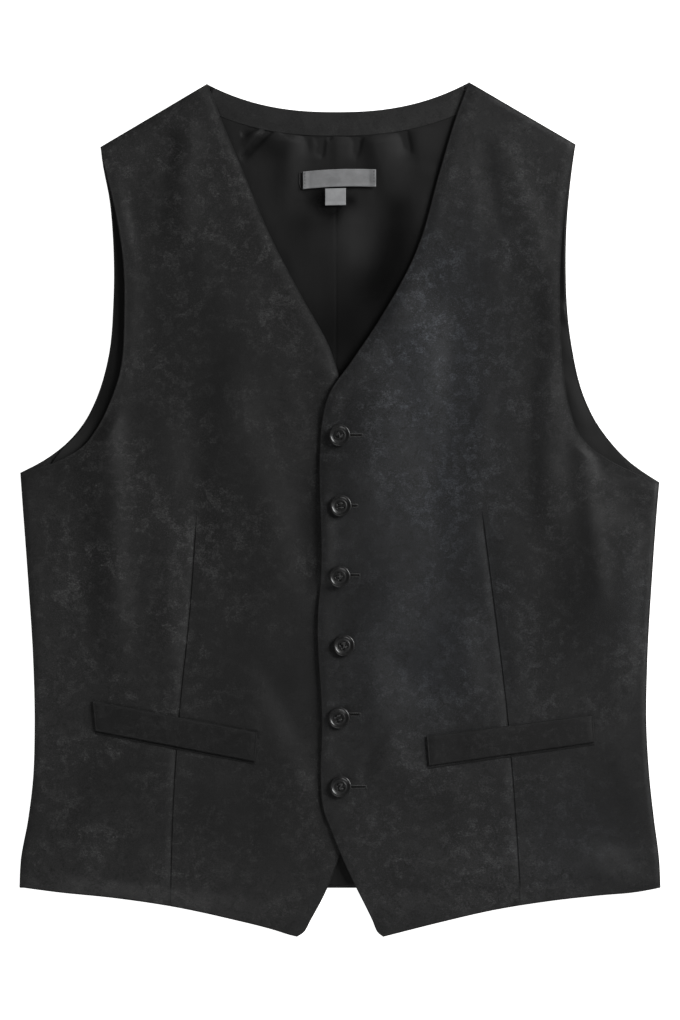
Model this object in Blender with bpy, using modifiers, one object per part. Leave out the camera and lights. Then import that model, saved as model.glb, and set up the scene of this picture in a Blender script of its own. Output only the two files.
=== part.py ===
"""A single-breasted waistcoat with six buttons and two welt pockets, laid flat on its back.

The garment lies on the plane z = 0 with its shoulders towards +Y and its fronts up, so the
wearer's right front is at -X and the wearer's left front, which overlaps it, is at +X. The
origin is under the middle of the garment. Pattern edges, folds and heights are written in
millimetres, the way a pattern is drafted, and every mesh is made in metres.
"""

import math
from collections import namedtuple

import bmesh
import bpy
import numpy as np
from mathutils import Euler, Vector

MM = 0.001

# ---------------------------------------------------------------- cloth, in millimetres
SEAM_GAP = 0.3            # between two pieces that are sewn together
LAYER_GAP = 0.45          # between two layers that lie on each other
BACK_CLOTH = 1.2
FACING_CLOTH = 1.2
LINING_CLOTH = 1.0
FRONT_CLOTH = 2.0         # shell, canvas and its own lining, pressed together
WELT_CLOTH = 1.6
LABEL_CLOTH = 1.0

LINING_UNDER = BACK_CLOTH + SEAM_GAP
LINING_TOP = LINING_UNDER + LINING_CLOTH
FACING_TOP = LINING_UNDER + FACING_CLOTH

# ---------------------------------------------------------------- pattern tables
Spot = namedtuple("Spot", "across up")
Fold = namedtuple("Fold", "from_across from_up to_across to_up half_width height")
ButtonPlace = namedtuple("ButtonPlace", "across up spin_deg tilt_deg tilt_towards_deg")

RIGHT, LEFT = "right", "left"     # the wearer's sides
SIDES = (RIGHT, LEFT)
OUTWARD = {RIGHT: -1.0, LEFT: 1.0}

NECK_POINT = {RIGHT: Spot(-99.4, 319.3), LEFT: Spot(96.4, 320.6)}
SHOULDER_TIP = {RIGHT: Spot(-179.6, 271.9), LEFT: Spot(176.6, 273.9)}
UNDERARM = {RIGHT: Spot(-239.6, 28.1), LEFT: Spot(239.3, 21.0)}
HEM_CORNER = {RIGHT: Spot(-240.2, -282.6), LEFT: Spot(240.2, -283.0)}
FRONT_POINT = {RIGHT: Spot(-32.3, -320.1), LEFT: Spot(32.3, -320.1)}

# Each edge runs between two of the corners above, which aren't repeated in its rows.
SIDE_SEAM = {
    RIGHT: (Spot(-239.2, -262.5), Spot(-233.8, -232.5), Spot(-230.1, -202.5),
            Spot(-228.8, -165.0), Spot(-229.9, -112.5), Spot(-233.7, -52.5),
            Spot(-238.1, 7.5)),
    LEFT: (Spot(239.2, -262.5), Spot(235.4, -232.5), Spot(232.1, -202.5),
           Spot(229.7, -165.0), Spot(230.3, -112.5), Spot(233.7, -52.5),
           Spot(238.1, 7.5)),
}
BACK_ARMHOLE = {
    RIGHT: (Spot(-221.8, 37.5), Spot(-202.6, 52.5), Spot(-190.7, 67.5),
            Spot(-183.2, 82.5), Spot(-174.2, 112.5), Spot(-170.0, 157.5),
            Spot(-170.3, 202.5), Spot(-172.9, 232.5), Spot(-178.3, 261.0)),
    LEFT: (Spot(227.6, 28.5), Spot(215.7, 37.5), Spot(201.7, 52.5),
           Spot(191.2, 67.5), Spot(184.0, 82.5), Spot(173.1, 127.5),
           Spot(169.4, 187.5), Spot(170.3, 217.5), Spot(173.6, 252.0)),
}
FRONT_ARMHOLE = {
    RIGHT: (Spot(-210.5, 37.1), Spot(-192.0, 48.2), Spot(-180.9, 63.0),
            Spot(-171.8, 81.8), Spot(-166.1, 98.0), Spot(-161.5, 150.0),
            Spot(-162.4, 186.0), Spot(-168.0, 222.0), Spot(-176.8, 258.8)),
    LEFT: (Spot(218.6, 28.8), Spot(200.0, 38.5), Spot(187.1, 47.5),
           Spot(177.8, 59.3), Spot(172.0, 76.0), Spot(166.4, 113.0),
           Spot(164.9, 144.8), Spot(166.7, 211.0), Spot(171.4, 247.0)),
}
FRONT_HEM = {
    RIGHT: (Spot(-212.7, -286.3), Spot(-168.6, -290.9), Spot(-123.2, -297.8),
            Spot(-82.5, -306.7), Spot(-47.6, -315.6), Spot(-38.5, -318.5)),
    LEFT: (Spot(221.5, -286.4), Spot(195.3, -288.8), Spot(156.9, -293.2),
           Spot(115.2, -300.0), Spot(76.7, -308.9), Spot(41.0, -317.9)),
}
# From the front point up the cutaway, the closing edge and the neckline to the neck point.
FRONT_EDGE = {
    RIGHT: (Spot(-27.2, -316.8), Spot(-22.4, -308.3), Spot(-10.6, -285.8),
            Spot(-2.0, -264.0), Spot(6.3, -240.8), Spot(13.1, -222.0),
            Spot(15.0, -202.5), Spot(15.0, -67.5), Spot(15.0, 52.5),
            Spot(10.5, 75.0), Spot(0.8, 97.0), Spot(-7.2, 120.0),
            Spot(-31.2, 164.3), Spot(-52.8, 206.3), Spot(-76.5, 262.5),
            Spot(-88.5, 291.0)),
    LEFT: (Spot(28.3, -316.8), Spot(24.5, -308.3), Spot(11.0, -280.5),
           Spot(2.3, -261.8), Spot(-6.3, -240.8), Spot(-13.1, -222.0),
           Spot(-14.6, -202.5), Spot(-13.6, -162.8), Spot(-16.8, -80.0),
           Spot(-14.4, -46.0), Spot(-15.3, 41.3), Spot(-14.1, 62.3),
           Spot(-8.5, 86.3), Spot(7.9, 110.3), Spot(28.5, 141.0),
           Spot(57.5, 195.0), Spot(75.0, 255.0), Spot(85.5, 290.3)),
}
# From its point at the chest to the hem.
DART = {
    RIGHT: (Spot(-107.0, 3.0), Spot(-112.7, -79.5), Spot(-120.0, -150.0),
            Spot(-125.0, -227.0), Spot(-126.8, -296.5)),
    LEFT: (Spot(105.8, 4.0), Spot(113.2, -52.7), Spot(125.9, -158.0),
           Spot(131.1, -221.0), Spot(135.7, -296.0)),
}
# Welt corners: top outer, top inner, bottom inner, bottom outer.
WELT = {
    RIGHT: (Spot(-185.6, -142.9), Spot(-61.9, -166.5),
            Spot(-63.4, -188.3), Spot(-183.4, -165.3)),
    LEFT: (Spot(189.6, -153.0), Spot(64.5, -169.5),
           Spot(66.2, -191.5), Spot(190.7, -173.8)),
}

BACK_HEM_UP = -283.5
CENTRE_BACK = -3.0
NECK_DIP_UP = 298.6
NECK_CURVE_POWER = 2.4
FACING_DEPTH = 18.3
FACING_SHORT_OF_NECK_POINT = 3.5
LINING_SIDE_INSET = 12.0
LINING_ARMHOLE_INSET = 2.5
LINING_SHOULDER_INSET = 22.0
LINING_HEM_UP = BACK_HEM_UP + 2.5

# ---------------------------------------------------------------- how the cloth lies
FRONT_REST = LINING_TOP + LAYER_GAP + 0.1
CHEST_SWELL = 2.6          # how far a front stands off the lining in its middle
ARMHOLE_LIFT = 1.9
NECKLINE_LIFT = 1.1
TIP_REST = 0.4             # the front points lie past the back's hem, on the surface
SEAM_ROLL = 9.0            # width over which a front rolls down to a side or shoulder seam
OVERLAP_FADE = 24.0
DART_SINK = 0.8
DART_HALF_WIDTH = 1.6

# Soft folds of the two fronts; a trough has a negative height.
FRONT_FOLDS = {
    RIGHT: (Fold(-141, 250, -146, 120, 11, -0.55), Fold(-168, 60, -150, -90, 14, 0.5),
            Fold(-92, 20, -84, -120, 16, -0.55), Fold(-48, -128, -22, -215, 13, 0.55),
            Fold(-195, -40, -203, -215, 13, 0.45)),
    LEFT: (Fold(95, 190, 99, 20, 9, -0.8), Fold(118, 230, 122, 70, 12, 0.55),
           Fold(42, 70, 50, -110, 17, 0.6), Fold(168, 40, 172, -30, 8, 0.6),
           Fold(197, -190, 217, -250, 9, -0.5)),
}
# Gathers where the lining is eased into the neck facing.
LINING_FOLDS = (
    Fold(-57.0, 288.0, -74.0, 271.0, 3.0, 1.5), Fold(-45.0, 284.0, -62.0, 256.0, 4.5, 1.6),
    Fold(-34.0, 281.5, -35.0, 222.0, 4.5, 2.0), Fold(-15.0, 280.5, -14.0, 262.0, 3.5, 1.3),
    Fold(0.5, 280.5, 0.0, 258.0, 3.5, 1.6), Fold(8.5, 280.5, 6.0, 262.0, 3.0, 1.5),
    Fold(23.0, 281.0, 27.0, 257.0, 4.0, 1.2), Fold(37.0, 282.5, 47.0, 222.0, 4.5, 2.1),
    Fold(57.0, 286.0, 62.0, 256.0, 4.5, 1.4),
)

# ---------------------------------------------------------------- buttons and labels
BUTTON_RADIUS = 8.0
BUTTON_HEIGHT = 3.1
BUTTON_DISH_RADIUS = 4.9
BUTTON_DISH_DEPTH = 0.9
BUTTON_STEPS = 24
BUTTON_HOLE_RADIUS = 0.85
BUTTON_HOLE_SPACING = 3.1
BUTTON_HOLE_SIDES = 8
BUTTONS = (
    ButtonPlace(-0.3, 55.9, 62.0, 1.5, 200.0), ButtonPlace(0.6, 3.2, 4.0, 2.5, 60.0),
    ButtonPlace(-0.2, -49.7, 48.0, 2.0, 230.0), ButtonPlace(2.9, -101.2, 28.0, 3.0, 50.0),
    ButtonPlace(-0.7, -155.3, 20.0, 2.0, 215.0), ButtonPlace(0.4, -206.9, 8.0, 2.5, 55.0),
)
LABEL_SIZE = Spot(54.8, 13.2)
LABEL_CENTRE = Spot(-0.4, 247.8)
LABEL_SLANT = 0.03         # its right end is a little higher than its left
LABEL_ARCH = 1.4
TAB_SIZE = Spot(15.5, 12.6)
TAB_CENTRE = Spot(-3.4, 234.6)
TAB_DROOP = 0.6

COLOURS = {
    "suiting": ((0.023, 0.023, 0.024, 1.0), 0.82, 0.0),
    "lining": ((0.012, 0.012, 0.0125, 1.0), 0.45, 0.0),
    "button": ((0.014, 0.014, 0.015, 1.0), 0.28, 0.0),
    "label": ((0.24, 0.24, 0.245, 1.0), 0.5, 0.0),
}


# ---------------------------------------------------------------- curves
def ease(share):
    """0 below 0, 1 above 1, and a smooth S between."""
    share = np.clip(share, 0.0, 1.0)
    return share * share * (3.0 - 2.0 * share)


class Edge:
    """A smooth pattern edge through a few spots, read by its share of the length or by height."""

    SAMPLES_PER_SPOT = 24

    def __init__(self, *spots):
        points = np.array(spots, float)
        chord = np.r_[0.0, np.cumsum(np.linalg.norm(np.diff(points, axis=0), axis=1))]
        slopes = np.gradient(points, chord, axis=0)
        place = np.linspace(0.0, chord[-1], self.SAMPLES_PER_SPOT * len(points))
        span = np.clip(np.searchsorted(chord, place, side="right") - 1, 0, len(points) - 2)
        length = (chord[span + 1] - chord[span])[:, None]
        t = (place - chord[span])[:, None] / length
        self.points = (
            points[span] * (2 * t**3 - 3 * t**2 + 1)
            + points[span + 1] * (3 * t**2 - 2 * t**3)
            + slopes[span] * length * (t**3 - 2 * t**2 + t)
            + slopes[span + 1] * length * (t**3 - t**2)
        )
        self.run = np.r_[0.0, np.cumsum(np.linalg.norm(np.diff(self.points, axis=0), axis=1))]

    def at(self, share):
        """Points at these shares of the edge's length."""
        place = np.asarray(share) * self.run[-1]
        return np.stack([np.interp(place, self.run, self.points[:, k]) for k in (0, 1)], -1)

    def across_at(self, up):
        order = np.argsort(self.points[:, 1])
        return np.interp(up, self.points[order, 1], self.points[order, 0])

    def up_at(self, across):
        order = np.argsort(self.points[:, 0])
        return np.interp(across, self.points[order, 0], self.points[order, 1])

    def inset(self, distance, steps):
        """Points along the edge, each moved this far to the edge's right-hand side."""
        points = self.at(np.linspace(0.0, 1.0, steps))
        along = np.gradient(points, axis=0)
        along /= np.linalg.norm(along, axis=1)[:, None]
        return points + distance * np.stack([along[:, 1], -along[:, 0]], -1)


def neck_curve(across):
    """The back neck edge: a flat-bottomed curve that rises to a neck point on each side."""
    side_point = np.where(across < CENTRE_BACK, NECK_POINT[RIGHT].across, NECK_POINT[LEFT].across)
    rise = np.where(across < CENTRE_BACK, NECK_POINT[RIGHT].up, NECK_POINT[LEFT].up) - NECK_DIP_UP
    share = np.abs((across - CENTRE_BACK) / (side_point - CENTRE_BACK))
    return NECK_DIP_UP + rise * share**NECK_CURVE_POWER


SIDE_EDGE = {s: Edge(HEM_CORNER[s], *SIDE_SEAM[s], UNDERARM[s]) for s in SIDES}
BACK_ARM_EDGE = {s: Edge(UNDERARM[s], *BACK_ARMHOLE[s], SHOULDER_TIP[s]) for s in SIDES}
FRONT_ARM_EDGE = {s: Edge(UNDERARM[s], *FRONT_ARMHOLE[s], SHOULDER_TIP[s]) for s in SIDES}
HEM_EDGE = {s: Edge(HEM_CORNER[s], *FRONT_HEM[s], FRONT_POINT[s]) for s in SIDES}
CLOSING_EDGE = {s: Edge(FRONT_POINT[s], *FRONT_EDGE[s], NECK_POINT[s]) for s in SIDES}
SHOULDER_EDGE = {s: Edge(SHOULDER_TIP[s], NECK_POINT[s]) for s in SIDES}
DART_EDGE = {s: Edge(*DART[s]) for s in SIDES}


# ---------------------------------------------------------------- heights
def folds_at(folds, across, up):
    """Summed height of soft folds: a bell across each fold that dies away past its two ends."""
    total = np.zeros(np.broadcast(across, up).shape)
    for fold in folds:
        run = np.array([fold.to_across - fold.from_across, fold.to_up - fold.from_up], float)
        length = np.linalg.norm(run)
        run /= length
        along = (across - fold.from_across) * run[0] + (up - fold.from_up) * run[1]
        aside = (across - fold.from_across) * run[1] - (up - fold.from_up) * run[0]
        past_end = np.maximum(0.0, np.abs(along - length / 2) - length / 2)
        total += fold.height * np.exp(-0.5 * (aside / fold.half_width) ** 2
                                      - 0.5 * (past_end / (1.6 * fold.half_width)) ** 2)
    return total


def shoulder_distances(side, across, up):
    """Distance below the shoulder seam, and distance along it from the neck point."""
    neck, tip = np.array(NECK_POINT[side]), np.array(SHOULDER_TIP[side])
    along = (tip - neck) / np.linalg.norm(tip - neck)
    place = np.stack([across - neck[0], up - neck[1]], -1)
    below = place @ np.array([-along[1], along[0]]) * -OUTWARD[side]
    return below, place @ along


def own_height(side, across, up):
    """Height of a front's inner surface where it lies on the lining, with no other front below."""
    outward = OUTWARD[side]
    underarm, tip = UNDERARM[side], SHOULDER_TIP[side]
    side_across = np.where(up < underarm.up, SIDE_EDGE[side].across_at(up),
                           FRONT_ARM_EDGE[side].across_at(up))
    from_side = (side_across - across) * outward
    from_closing = (across - CLOSING_EDGE[side].across_at(up)) * outward
    from_hem = up - HEM_EDGE[side].up_at(across)
    below_shoulder, from_neck = shoulder_distances(side, across, up)

    swell = (ease(from_side / 75.0) * ease(from_closing / 70.0)
             * ease(from_hem / 90.0) * ease(below_shoulder / 75.0))
    height = FRONT_REST + CHEST_SWELL * swell
    height += folds_at(FRONT_FOLDS[side], across, up) * ease(swell * 6.0)

    armhole_share = np.clip((up - underarm.up) / (tip.up - underarm.up), 0.0, 1.0)
    height += (ARMHOLE_LIFT * (1 - ease(from_side / 42.0))
               * np.sqrt(np.sin(np.pi * armhole_share).clip(0.0)))
    height += NECKLINE_LIFT * (1 - ease(from_closing / 38.0)) * ease((up - 60.0) / 60.0)

    rolled = (1 - ease(from_side / SEAM_ROLL)) * (1 - ease((up - underarm.up) / 5.0))
    at_shoulder = (1 - ease(below_shoulder / SEAM_ROLL)) * ease((from_neck - 8.0) / 22.0)
    rolled = np.maximum(rolled, at_shoulder)
    height += (BACK_CLOTH + SEAM_GAP - height) * rolled

    past_back = ease((BACK_HEM_UP - 1.0 - up) / 27.0)
    return height + (TIP_REST - height) * past_back


def front_height(side, across, up):
    """Height of a front's inner surface. The left front rides over the right one."""
    height = own_height(side, across, up)
    if side == RIGHT:
        return height
    under_top = own_height(RIGHT, across, up) + FRONT_CLOTH + LAYER_GAP
    past_under = across - CLOSING_EDGE[RIGHT].across_at(up)
    lifted = ease((OVERLAP_FADE + 2.0 - past_under) / OVERLAP_FADE)
    return height + (under_top - height) * lifted


def front_top(side, across, up):
    return front_height(side, across, up) + FRONT_CLOTH


def lining_height(across, up):
    """Height of the lining's upper surface: flat, with gathers where the neckline leaves it bare."""
    from_right = across - CLOSING_EDGE[RIGHT].across_at(up)
    from_left = CLOSING_EDGE[LEFT].across_at(up) - across
    bare = ease((np.minimum(from_right, from_left) + 6.0) / 14.0)
    seam_up = neck_curve(across) - FACING_DEPTH
    clear_of_seam = 0.35 + 0.65 * ease((seam_up - up) / 7.0)
    return LINING_TOP + folds_at(LINING_FOLDS, across, up) * bare * clear_of_seam


# ---------------------------------------------------------------- building solids
def clear_scene():
    for obj in list(bpy.data.objects):
        bpy.data.objects.remove(obj)


def make_material(name):
    colour, roughness, metallic = COLOURS[name]
    material = bpy.data.materials.new(name)
    material.use_nodes = True
    shader = material.node_tree.nodes["Principled BSDF"]
    shader.inputs["Base Color"].default_value = colour
    shader.inputs["Roughness"].default_value = roughness
    shader.inputs["Metallic"].default_value = metallic
    return material


def add_object(name, data, material, collection):
    obj = bpy.data.objects.new(name, data)
    collection.objects.link(obj)
    if material is not None and not data.materials:
        data.materials.append(material)
    return obj


def cloth_slab(name, across, up, under, top, material, collection):
    """A wall of cloth: a slab cut into a grid whose points are carried to the panel's points.

    across, up, under and top are arrays of rows by columns.
    """
    rows, columns = across.shape
    bm = bmesh.new()
    bmesh.ops.create_grid(bm, x_segments=columns - 1, y_segments=rows - 1, size=0.5)
    lower = bmesh.ops.extrude_face_region(bm, geom=bm.faces[:])
    for vert in (item for item in lower["geom"] if isinstance(item, bmesh.types.BMVert)):
        vert.co.z = -1.0
    for vert in bm.verts:
        column = round((vert.co.x + 0.5) * (columns - 1))
        row = round((vert.co.y + 0.5) * (rows - 1))
        height = (under if vert.co.z < -0.5 else top)[row, column]
        vert.co = Vector((across[row, column], up[row, column], height)) * MM
    bmesh.ops.recalc_face_normals(bm, faces=bm.faces[:])
    mesh = bpy.data.meshes.new(name)
    bm.to_mesh(mesh)
    bm.free()
    return add_object(name, mesh, material, collection)


def flat_piece(name, outline, under, thickness, material, collection):
    """A flat piece cut to an outline, lying with its underside at this height."""
    curve = bpy.data.curves.new(name, "CURVE")
    curve.dimensions = "2D"
    curve.fill_mode = "BOTH"
    curve.extrude = thickness * MM / 2
    spline = curve.splines.new("POLY")
    spline.points.add(len(outline) - 1)
    for point, (across, up) in zip(spline.points, outline):
        point.co = (across * MM, up * MM, 0.0, 1.0)
    spline.use_cyclic_u = True
    obj = add_object(name, curve, material, collection)
    obj.location.z = (under + thickness / 2) * MM
    return obj


# ---------------------------------------------------------------- fronts
class FrontPattern:
    """The grid of a front: rows run from its side to its closing edge, and one column is the dart."""

    ROWS_BELOW_UNDERARM = 16
    ROWS_ABOVE_UNDERARM = 14
    COLUMNS_OUTSIDE_DART = 9
    COLUMNS_INSIDE_DART = 10
    UNDERARM_SHARE = 0.53      # where the underarm comes in the rows

    def __init__(self, side):
        self.side = side

    def point(self, u, v):
        """A blend of the four edges: u runs from the side to the closing edge, v from hem to shoulder."""
        side = self.side
        u, v = np.broadcast_arrays(u, v)
        below = v <= self.UNDERARM_SHARE
        arm_share = (v - self.UNDERARM_SHARE) / (1 - self.UNDERARM_SHARE)
        outer = np.where(below[..., None],
                         SIDE_EDGE[side].at(np.clip(v / self.UNDERARM_SHARE, 0, 1)),
                         FRONT_ARM_EDGE[side].at(np.clip(arm_share, 0, 1)))
        inner = CLOSING_EDGE[side].at(v)
        hem, shoulder = HEM_EDGE[side].at(u), SHOULDER_EDGE[side].at(u)
        u, v = u[..., None], v[..., None]
        corners = ((1 - u) * (1 - v) * np.array(HEM_CORNER[side])
                   + u * (1 - v) * np.array(FRONT_POINT[side])
                   + (1 - u) * v * np.array(SHOULDER_TIP[side])
                   + u * v * np.array(NECK_POINT[side]))
        return (1 - v) * hem + v * shoulder + (1 - u) * outer + u * inner - corners

    def dart_share(self, v):
        """The u of the dart in each row. Above the dart's point the column runs straight on."""
        tries = np.linspace(0.05, 0.95, 181)
        shares = []
        for row in v:
            points = self.point(tries, np.full_like(tries, row))
            dart_across = DART_EDGE[self.side].across_at(points[:, 1])
            beyond = (points[:, 0] - dart_across) * OUTWARD[self.side]
            shares.append(np.interp(0.0, -beyond, tries))
        shares = np.array(shares)
        apex = np.searchsorted(v, self.UNDERARM_SHARE)
        shares[apex:] = shares[apex]
        return shares

    def grid(self):
        """across, up: arrays of rows by columns."""
        v = np.r_[np.linspace(0, self.UNDERARM_SHARE, self.ROWS_BELOW_UNDERARM),
                  np.linspace(self.UNDERARM_SHARE, 1, self.ROWS_ABOVE_UNDERARM)[1:]]
        rows = []
        for row, dart in zip(v, self.dart_share(v)):
            ends = self.point(np.array([0.0, 1.0]), np.full(2, row))
            lip = DART_HALF_WIDTH / np.linalg.norm(ends[1] - ends[0])
            u = np.r_[np.linspace(0, dart - lip, self.COLUMNS_OUTSIDE_DART), dart,
                      np.linspace(dart + lip, 1, self.COLUMNS_INSIDE_DART)]
            rows.append(self.point(u, np.full_like(u, row)))
        points = np.array(rows)
        return points[..., 0], points[..., 1]


def make_front(side, material, collection):
    """A front panel with its dart sunk into it as a shallow groove."""
    pattern = FrontPattern(side)
    across, up = pattern.grid()
    under, top = front_height(side, across, up), front_top(side, across, up)
    apex = DART[side][0].up
    column = pattern.COLUMNS_OUTSIDE_DART
    top[:, column] -= DART_SINK * ease((apex - up[:, column]) / 25.0)
    return cloth_slab(f"front_{side}", across, up, under, top, material, collection)


def make_welt(side, material, collection):
    """A pocket welt: a slanted strip that follows the front it is sewn on."""
    top_outer, top_inner, bottom_inner, bottom_outer = (np.array(s) for s in WELT[side])
    along = np.linspace(0, 1, 15)[None, :, None]
    down = np.linspace(0, 1, 3)[:, None, None]
    points = ((1 - down) * ((1 - along) * top_outer + along * top_inner)
              + down * ((1 - along) * bottom_outer + along * bottom_inner))
    across, up = points[..., 0], points[..., 1]
    under = front_top(side, across, up) + LAYER_GAP
    return cloth_slab(f"welt_{side}", across, up, under, under + WELT_CLOTH, material, collection)


# ---------------------------------------------------------------- back, facing and lining
def make_back(side, material, collection):
    """Half of the plain back, from the centre back seam to the side, flat on the surface."""
    seam = CENTRE_BACK + OUTWARD[side] * SEAM_GAP / 2
    neck_across = np.linspace(NECK_POINT[side].across, seam, 12)
    outline = [(seam, BACK_HEM_UP), (HEM_CORNER[side].across, BACK_HEM_UP)]
    outline += [tuple(p) for p in SIDE_EDGE[side].at(np.linspace(0.02, 1, 12))]
    outline += [tuple(p) for p in BACK_ARM_EDGE[side].at(np.linspace(0, 1, 20))[1:]]
    outline += list(zip(neck_across, neck_curve(neck_across)))
    return flat_piece(f"back_{side}", outline, 0.0, BACK_CLOTH, material, collection)


def facing_ends():
    return (NECK_POINT[RIGHT].across + FACING_SHORT_OF_NECK_POINT,
            NECK_POINT[LEFT].across - FACING_SHORT_OF_NECK_POINT)


def facing_edge(depth, steps):
    """Points along the neck edge, each moved this far down into the back."""
    across = np.linspace(*facing_ends(), steps)
    edge = Edge(*zip(across, neck_curve(across)))
    return edge.inset(depth, steps)


def make_facing(material, collection):
    """The band of suiting round the inside of the back neck."""
    outline = [tuple(p) for p in facing_edge(0.8, 25)]
    outline += [tuple(p) for p in facing_edge(FACING_DEPTH - SEAM_GAP, 25)[::-1]]
    return flat_piece("neck_facing", outline, LINING_UNDER, FACING_CLOTH, material, collection)


def lining_side(side):
    """The lining's side and armhole edge, from its hem to its shoulder corner."""
    inward = -OUTWARD[side]
    hem = Spot(HEM_CORNER[side].across + inward * LINING_SIDE_INSET, LINING_HEM_UP)
    seam = [Spot(s.across + inward * LINING_SIDE_INSET, s.up) for s in SIDE_SEAM[side][1:]]
    armhole = BACK_ARM_EDGE[side].inset(inward * LINING_ARMHOLE_INSET, 24)
    corner = Spot(UNDERARM[side].across + inward * LINING_SIDE_INSET, UNDERARM[side].up - 10.0)
    tip_up = SHOULDER_TIP[side].up - LINING_SHOULDER_INSET
    rising = [Spot(*p) for p in armhole[3:] if p[1] < tip_up - 4.0]
    tip = Spot(BACK_ARM_EDGE[side].across_at(tip_up) + inward * LINING_ARMHOLE_INSET, tip_up)
    return Edge(hem, *seam, corner), Edge(corner, *rising, tip), tip


def make_lining(material, collection):
    """The back lining, gathered where it meets the neck facing."""
    below, above, neck_columns, shoulder_columns = 7, 15, 33, 5
    sides = {s: lining_side(s) for s in SIDES}
    rows_v = np.r_[np.linspace(0, 0.5, below), np.linspace(0.5, 1, above)[1:]]
    rows_v[below:] = 0.5 + 0.5 * (1 - (1 - (rows_v[below:] - 0.5) * 2) ** 1.5)

    def side_points(side):
        seam, armhole, _ = sides[side]
        low = seam.at(np.clip(rows_v * 2, 0, 1))
        high = armhole.at(np.clip(rows_v * 2 - 1, 0, 1))
        return np.where((rows_v <= 0.5)[:, None], low, high)

    seam_line = facing_edge(FACING_DEPTH, neck_columns)
    top = np.concatenate([
        Edge(sides[RIGHT][2], seam_line[0]).at(np.linspace(0, 1, shoulder_columns))[:-1],
        seam_line,
        Edge(seam_line[-1], sides[LEFT][2]).at(np.linspace(0, 1, shoulder_columns))[1:],
    ])
    run = np.r_[0.0, np.cumsum(np.linalg.norm(np.diff(top, axis=0), axis=1))]
    u = (run / run[-1])[None, :, None]
    v = rows_v[:, None, None]
    left_side, right_side = side_points(LEFT)[:, None], side_points(RIGHT)[:, None]
    hem = right_side[0] * (1 - u) + left_side[0] * u
    corners = ((1 - u) * (1 - v) * right_side[0] + u * (1 - v) * left_side[0]
               + (1 - u) * v * top[0] + u * v * top[-1])
    points = (1 - v) * hem + v * top[None] + (1 - u) * right_side + u * left_side - corners
    across, up = points[..., 0], points[..., 1]
    height = lining_height(across, up)
    return cloth_slab("back_lining", across, up, height - LINING_CLOTH, height, material, collection)


# ---------------------------------------------------------------- label
def label_height(across):
    """The label lies on the lining's highest point across it, and arches where nothing holds it."""
    rows = np.linspace(TAB_CENTRE.up - TAB_SIZE.up / 2, LABEL_CENTRE.up + 9.0, 14)
    ground = lining_height(across[..., None], rows).max(-1)
    share = (across - LABEL_CENTRE.across) / (LABEL_SIZE.across / 2)
    return ground + LAYER_GAP + LABEL_ARCH * (1 - share**2).clip(0.0)


def make_label(material, collection):
    share = np.linspace(-0.5, 0.5, 13)[None, :]
    rise = np.linspace(-0.5, 0.5, 3)[:, None]
    across = LABEL_CENTRE.across + share * LABEL_SIZE.across + rise * 0.0
    bow = (0.25 - share**2) * 4.0
    up = (LABEL_CENTRE.up + rise * LABEL_SIZE.up
          + LABEL_SLANT * (across - LABEL_CENTRE.across) + bow)
    under = label_height(across)
    return cloth_slab("neck_label", across, up, under, under + LABEL_CLOTH, material, collection)


def make_tab(material, collection):
    """The small size tab that hangs from the label's lower edge."""
    share = np.linspace(-0.5, 0.5, 5)[None, :]
    rise = np.linspace(-0.5, 0.5, 4)[:, None]
    across = TAB_CENTRE.across + share * TAB_SIZE.across + rise * 0.0
    up = TAB_CENTRE.up + rise * TAB_SIZE.up + share * 0.0
    under = label_height(across) - TAB_DROOP * (0.5 - rise)
    return cloth_slab("size_tab", across, up, under, under + LABEL_CLOTH, material, collection)


# ---------------------------------------------------------------- buttons
def button_profile():
    """Half of the button's section, down its outer side: radius and height in millimetres."""
    dish = BUTTON_HEIGHT - BUTTON_DISH_DEPTH
    return ((0.0, dish), (BUTTON_DISH_RADIUS - 0.7, dish), (BUTTON_DISH_RADIUS + 0.3, BUTTON_HEIGHT - 0.1),
            (BUTTON_RADIUS - 1.4, BUTTON_HEIGHT), (BUTTON_RADIUS - 0.3, BUTTON_HEIGHT - 0.6),
            (BUTTON_RADIUS, BUTTON_HEIGHT - 1.5), (BUTTON_RADIUS - 0.9, 0.5),
            (BUTTON_RADIUS - 2.6, 0.0), (0.0, 0.0))


def turned_button(cutters):
    """The mesh of a four-hole button: a turned disc with its holes drilled through."""
    mesh = bpy.data.meshes.new("button_turned")
    points = [(radius * MM, 0.0, height * MM) for radius, height in button_profile()]
    mesh.from_pydata(points, [(i, i + 1) for i in range(len(points) - 1)], [])
    disc = bpy.data.objects.new("button_turned", mesh)
    cutters.objects.link(disc)
    turn = disc.modifiers.new("turn", "SCREW")
    turn.steps = turn.render_steps = BUTTON_STEPS
    turn.use_merge_vertices = True
    turn.merge_threshold = 0.00001
    for index, (sign_x, sign_y) in enumerate(((1, 1), (-1, 1), (-1, -1), (1, -1))):
        bpy.ops.mesh.primitive_cylinder_add(
            vertices=BUTTON_HOLE_SIDES, radius=BUTTON_HOLE_RADIUS * MM, depth=4 * BUTTON_HEIGHT * MM,
            location=(sign_x * BUTTON_HOLE_SPACING / 2 * MM, sign_y * BUTTON_HOLE_SPACING / 2 * MM, 0.0))
        drill = bpy.context.object
        drill.name = f"button_drill_{index}"
        move_to(drill, cutters)
        hole = disc.modifiers.new("hole", "BOOLEAN")
        hole.operation = "DIFFERENCE"
        hole.object = drill
    bpy.context.view_layer.update()
    graph = bpy.context.evaluated_depsgraph_get()
    drilled = bpy.data.meshes.new_from_object(disc.evaluated_get(graph))
    drilled.name = "button"
    bpy.data.objects.remove(disc)
    return drilled


def move_to(obj, collection):
    for owner in list(obj.users_collection):
        owner.objects.unlink(obj)
    collection.objects.link(obj)
    obj.hide_render = True
    obj.display_type = "WIRE"


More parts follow.
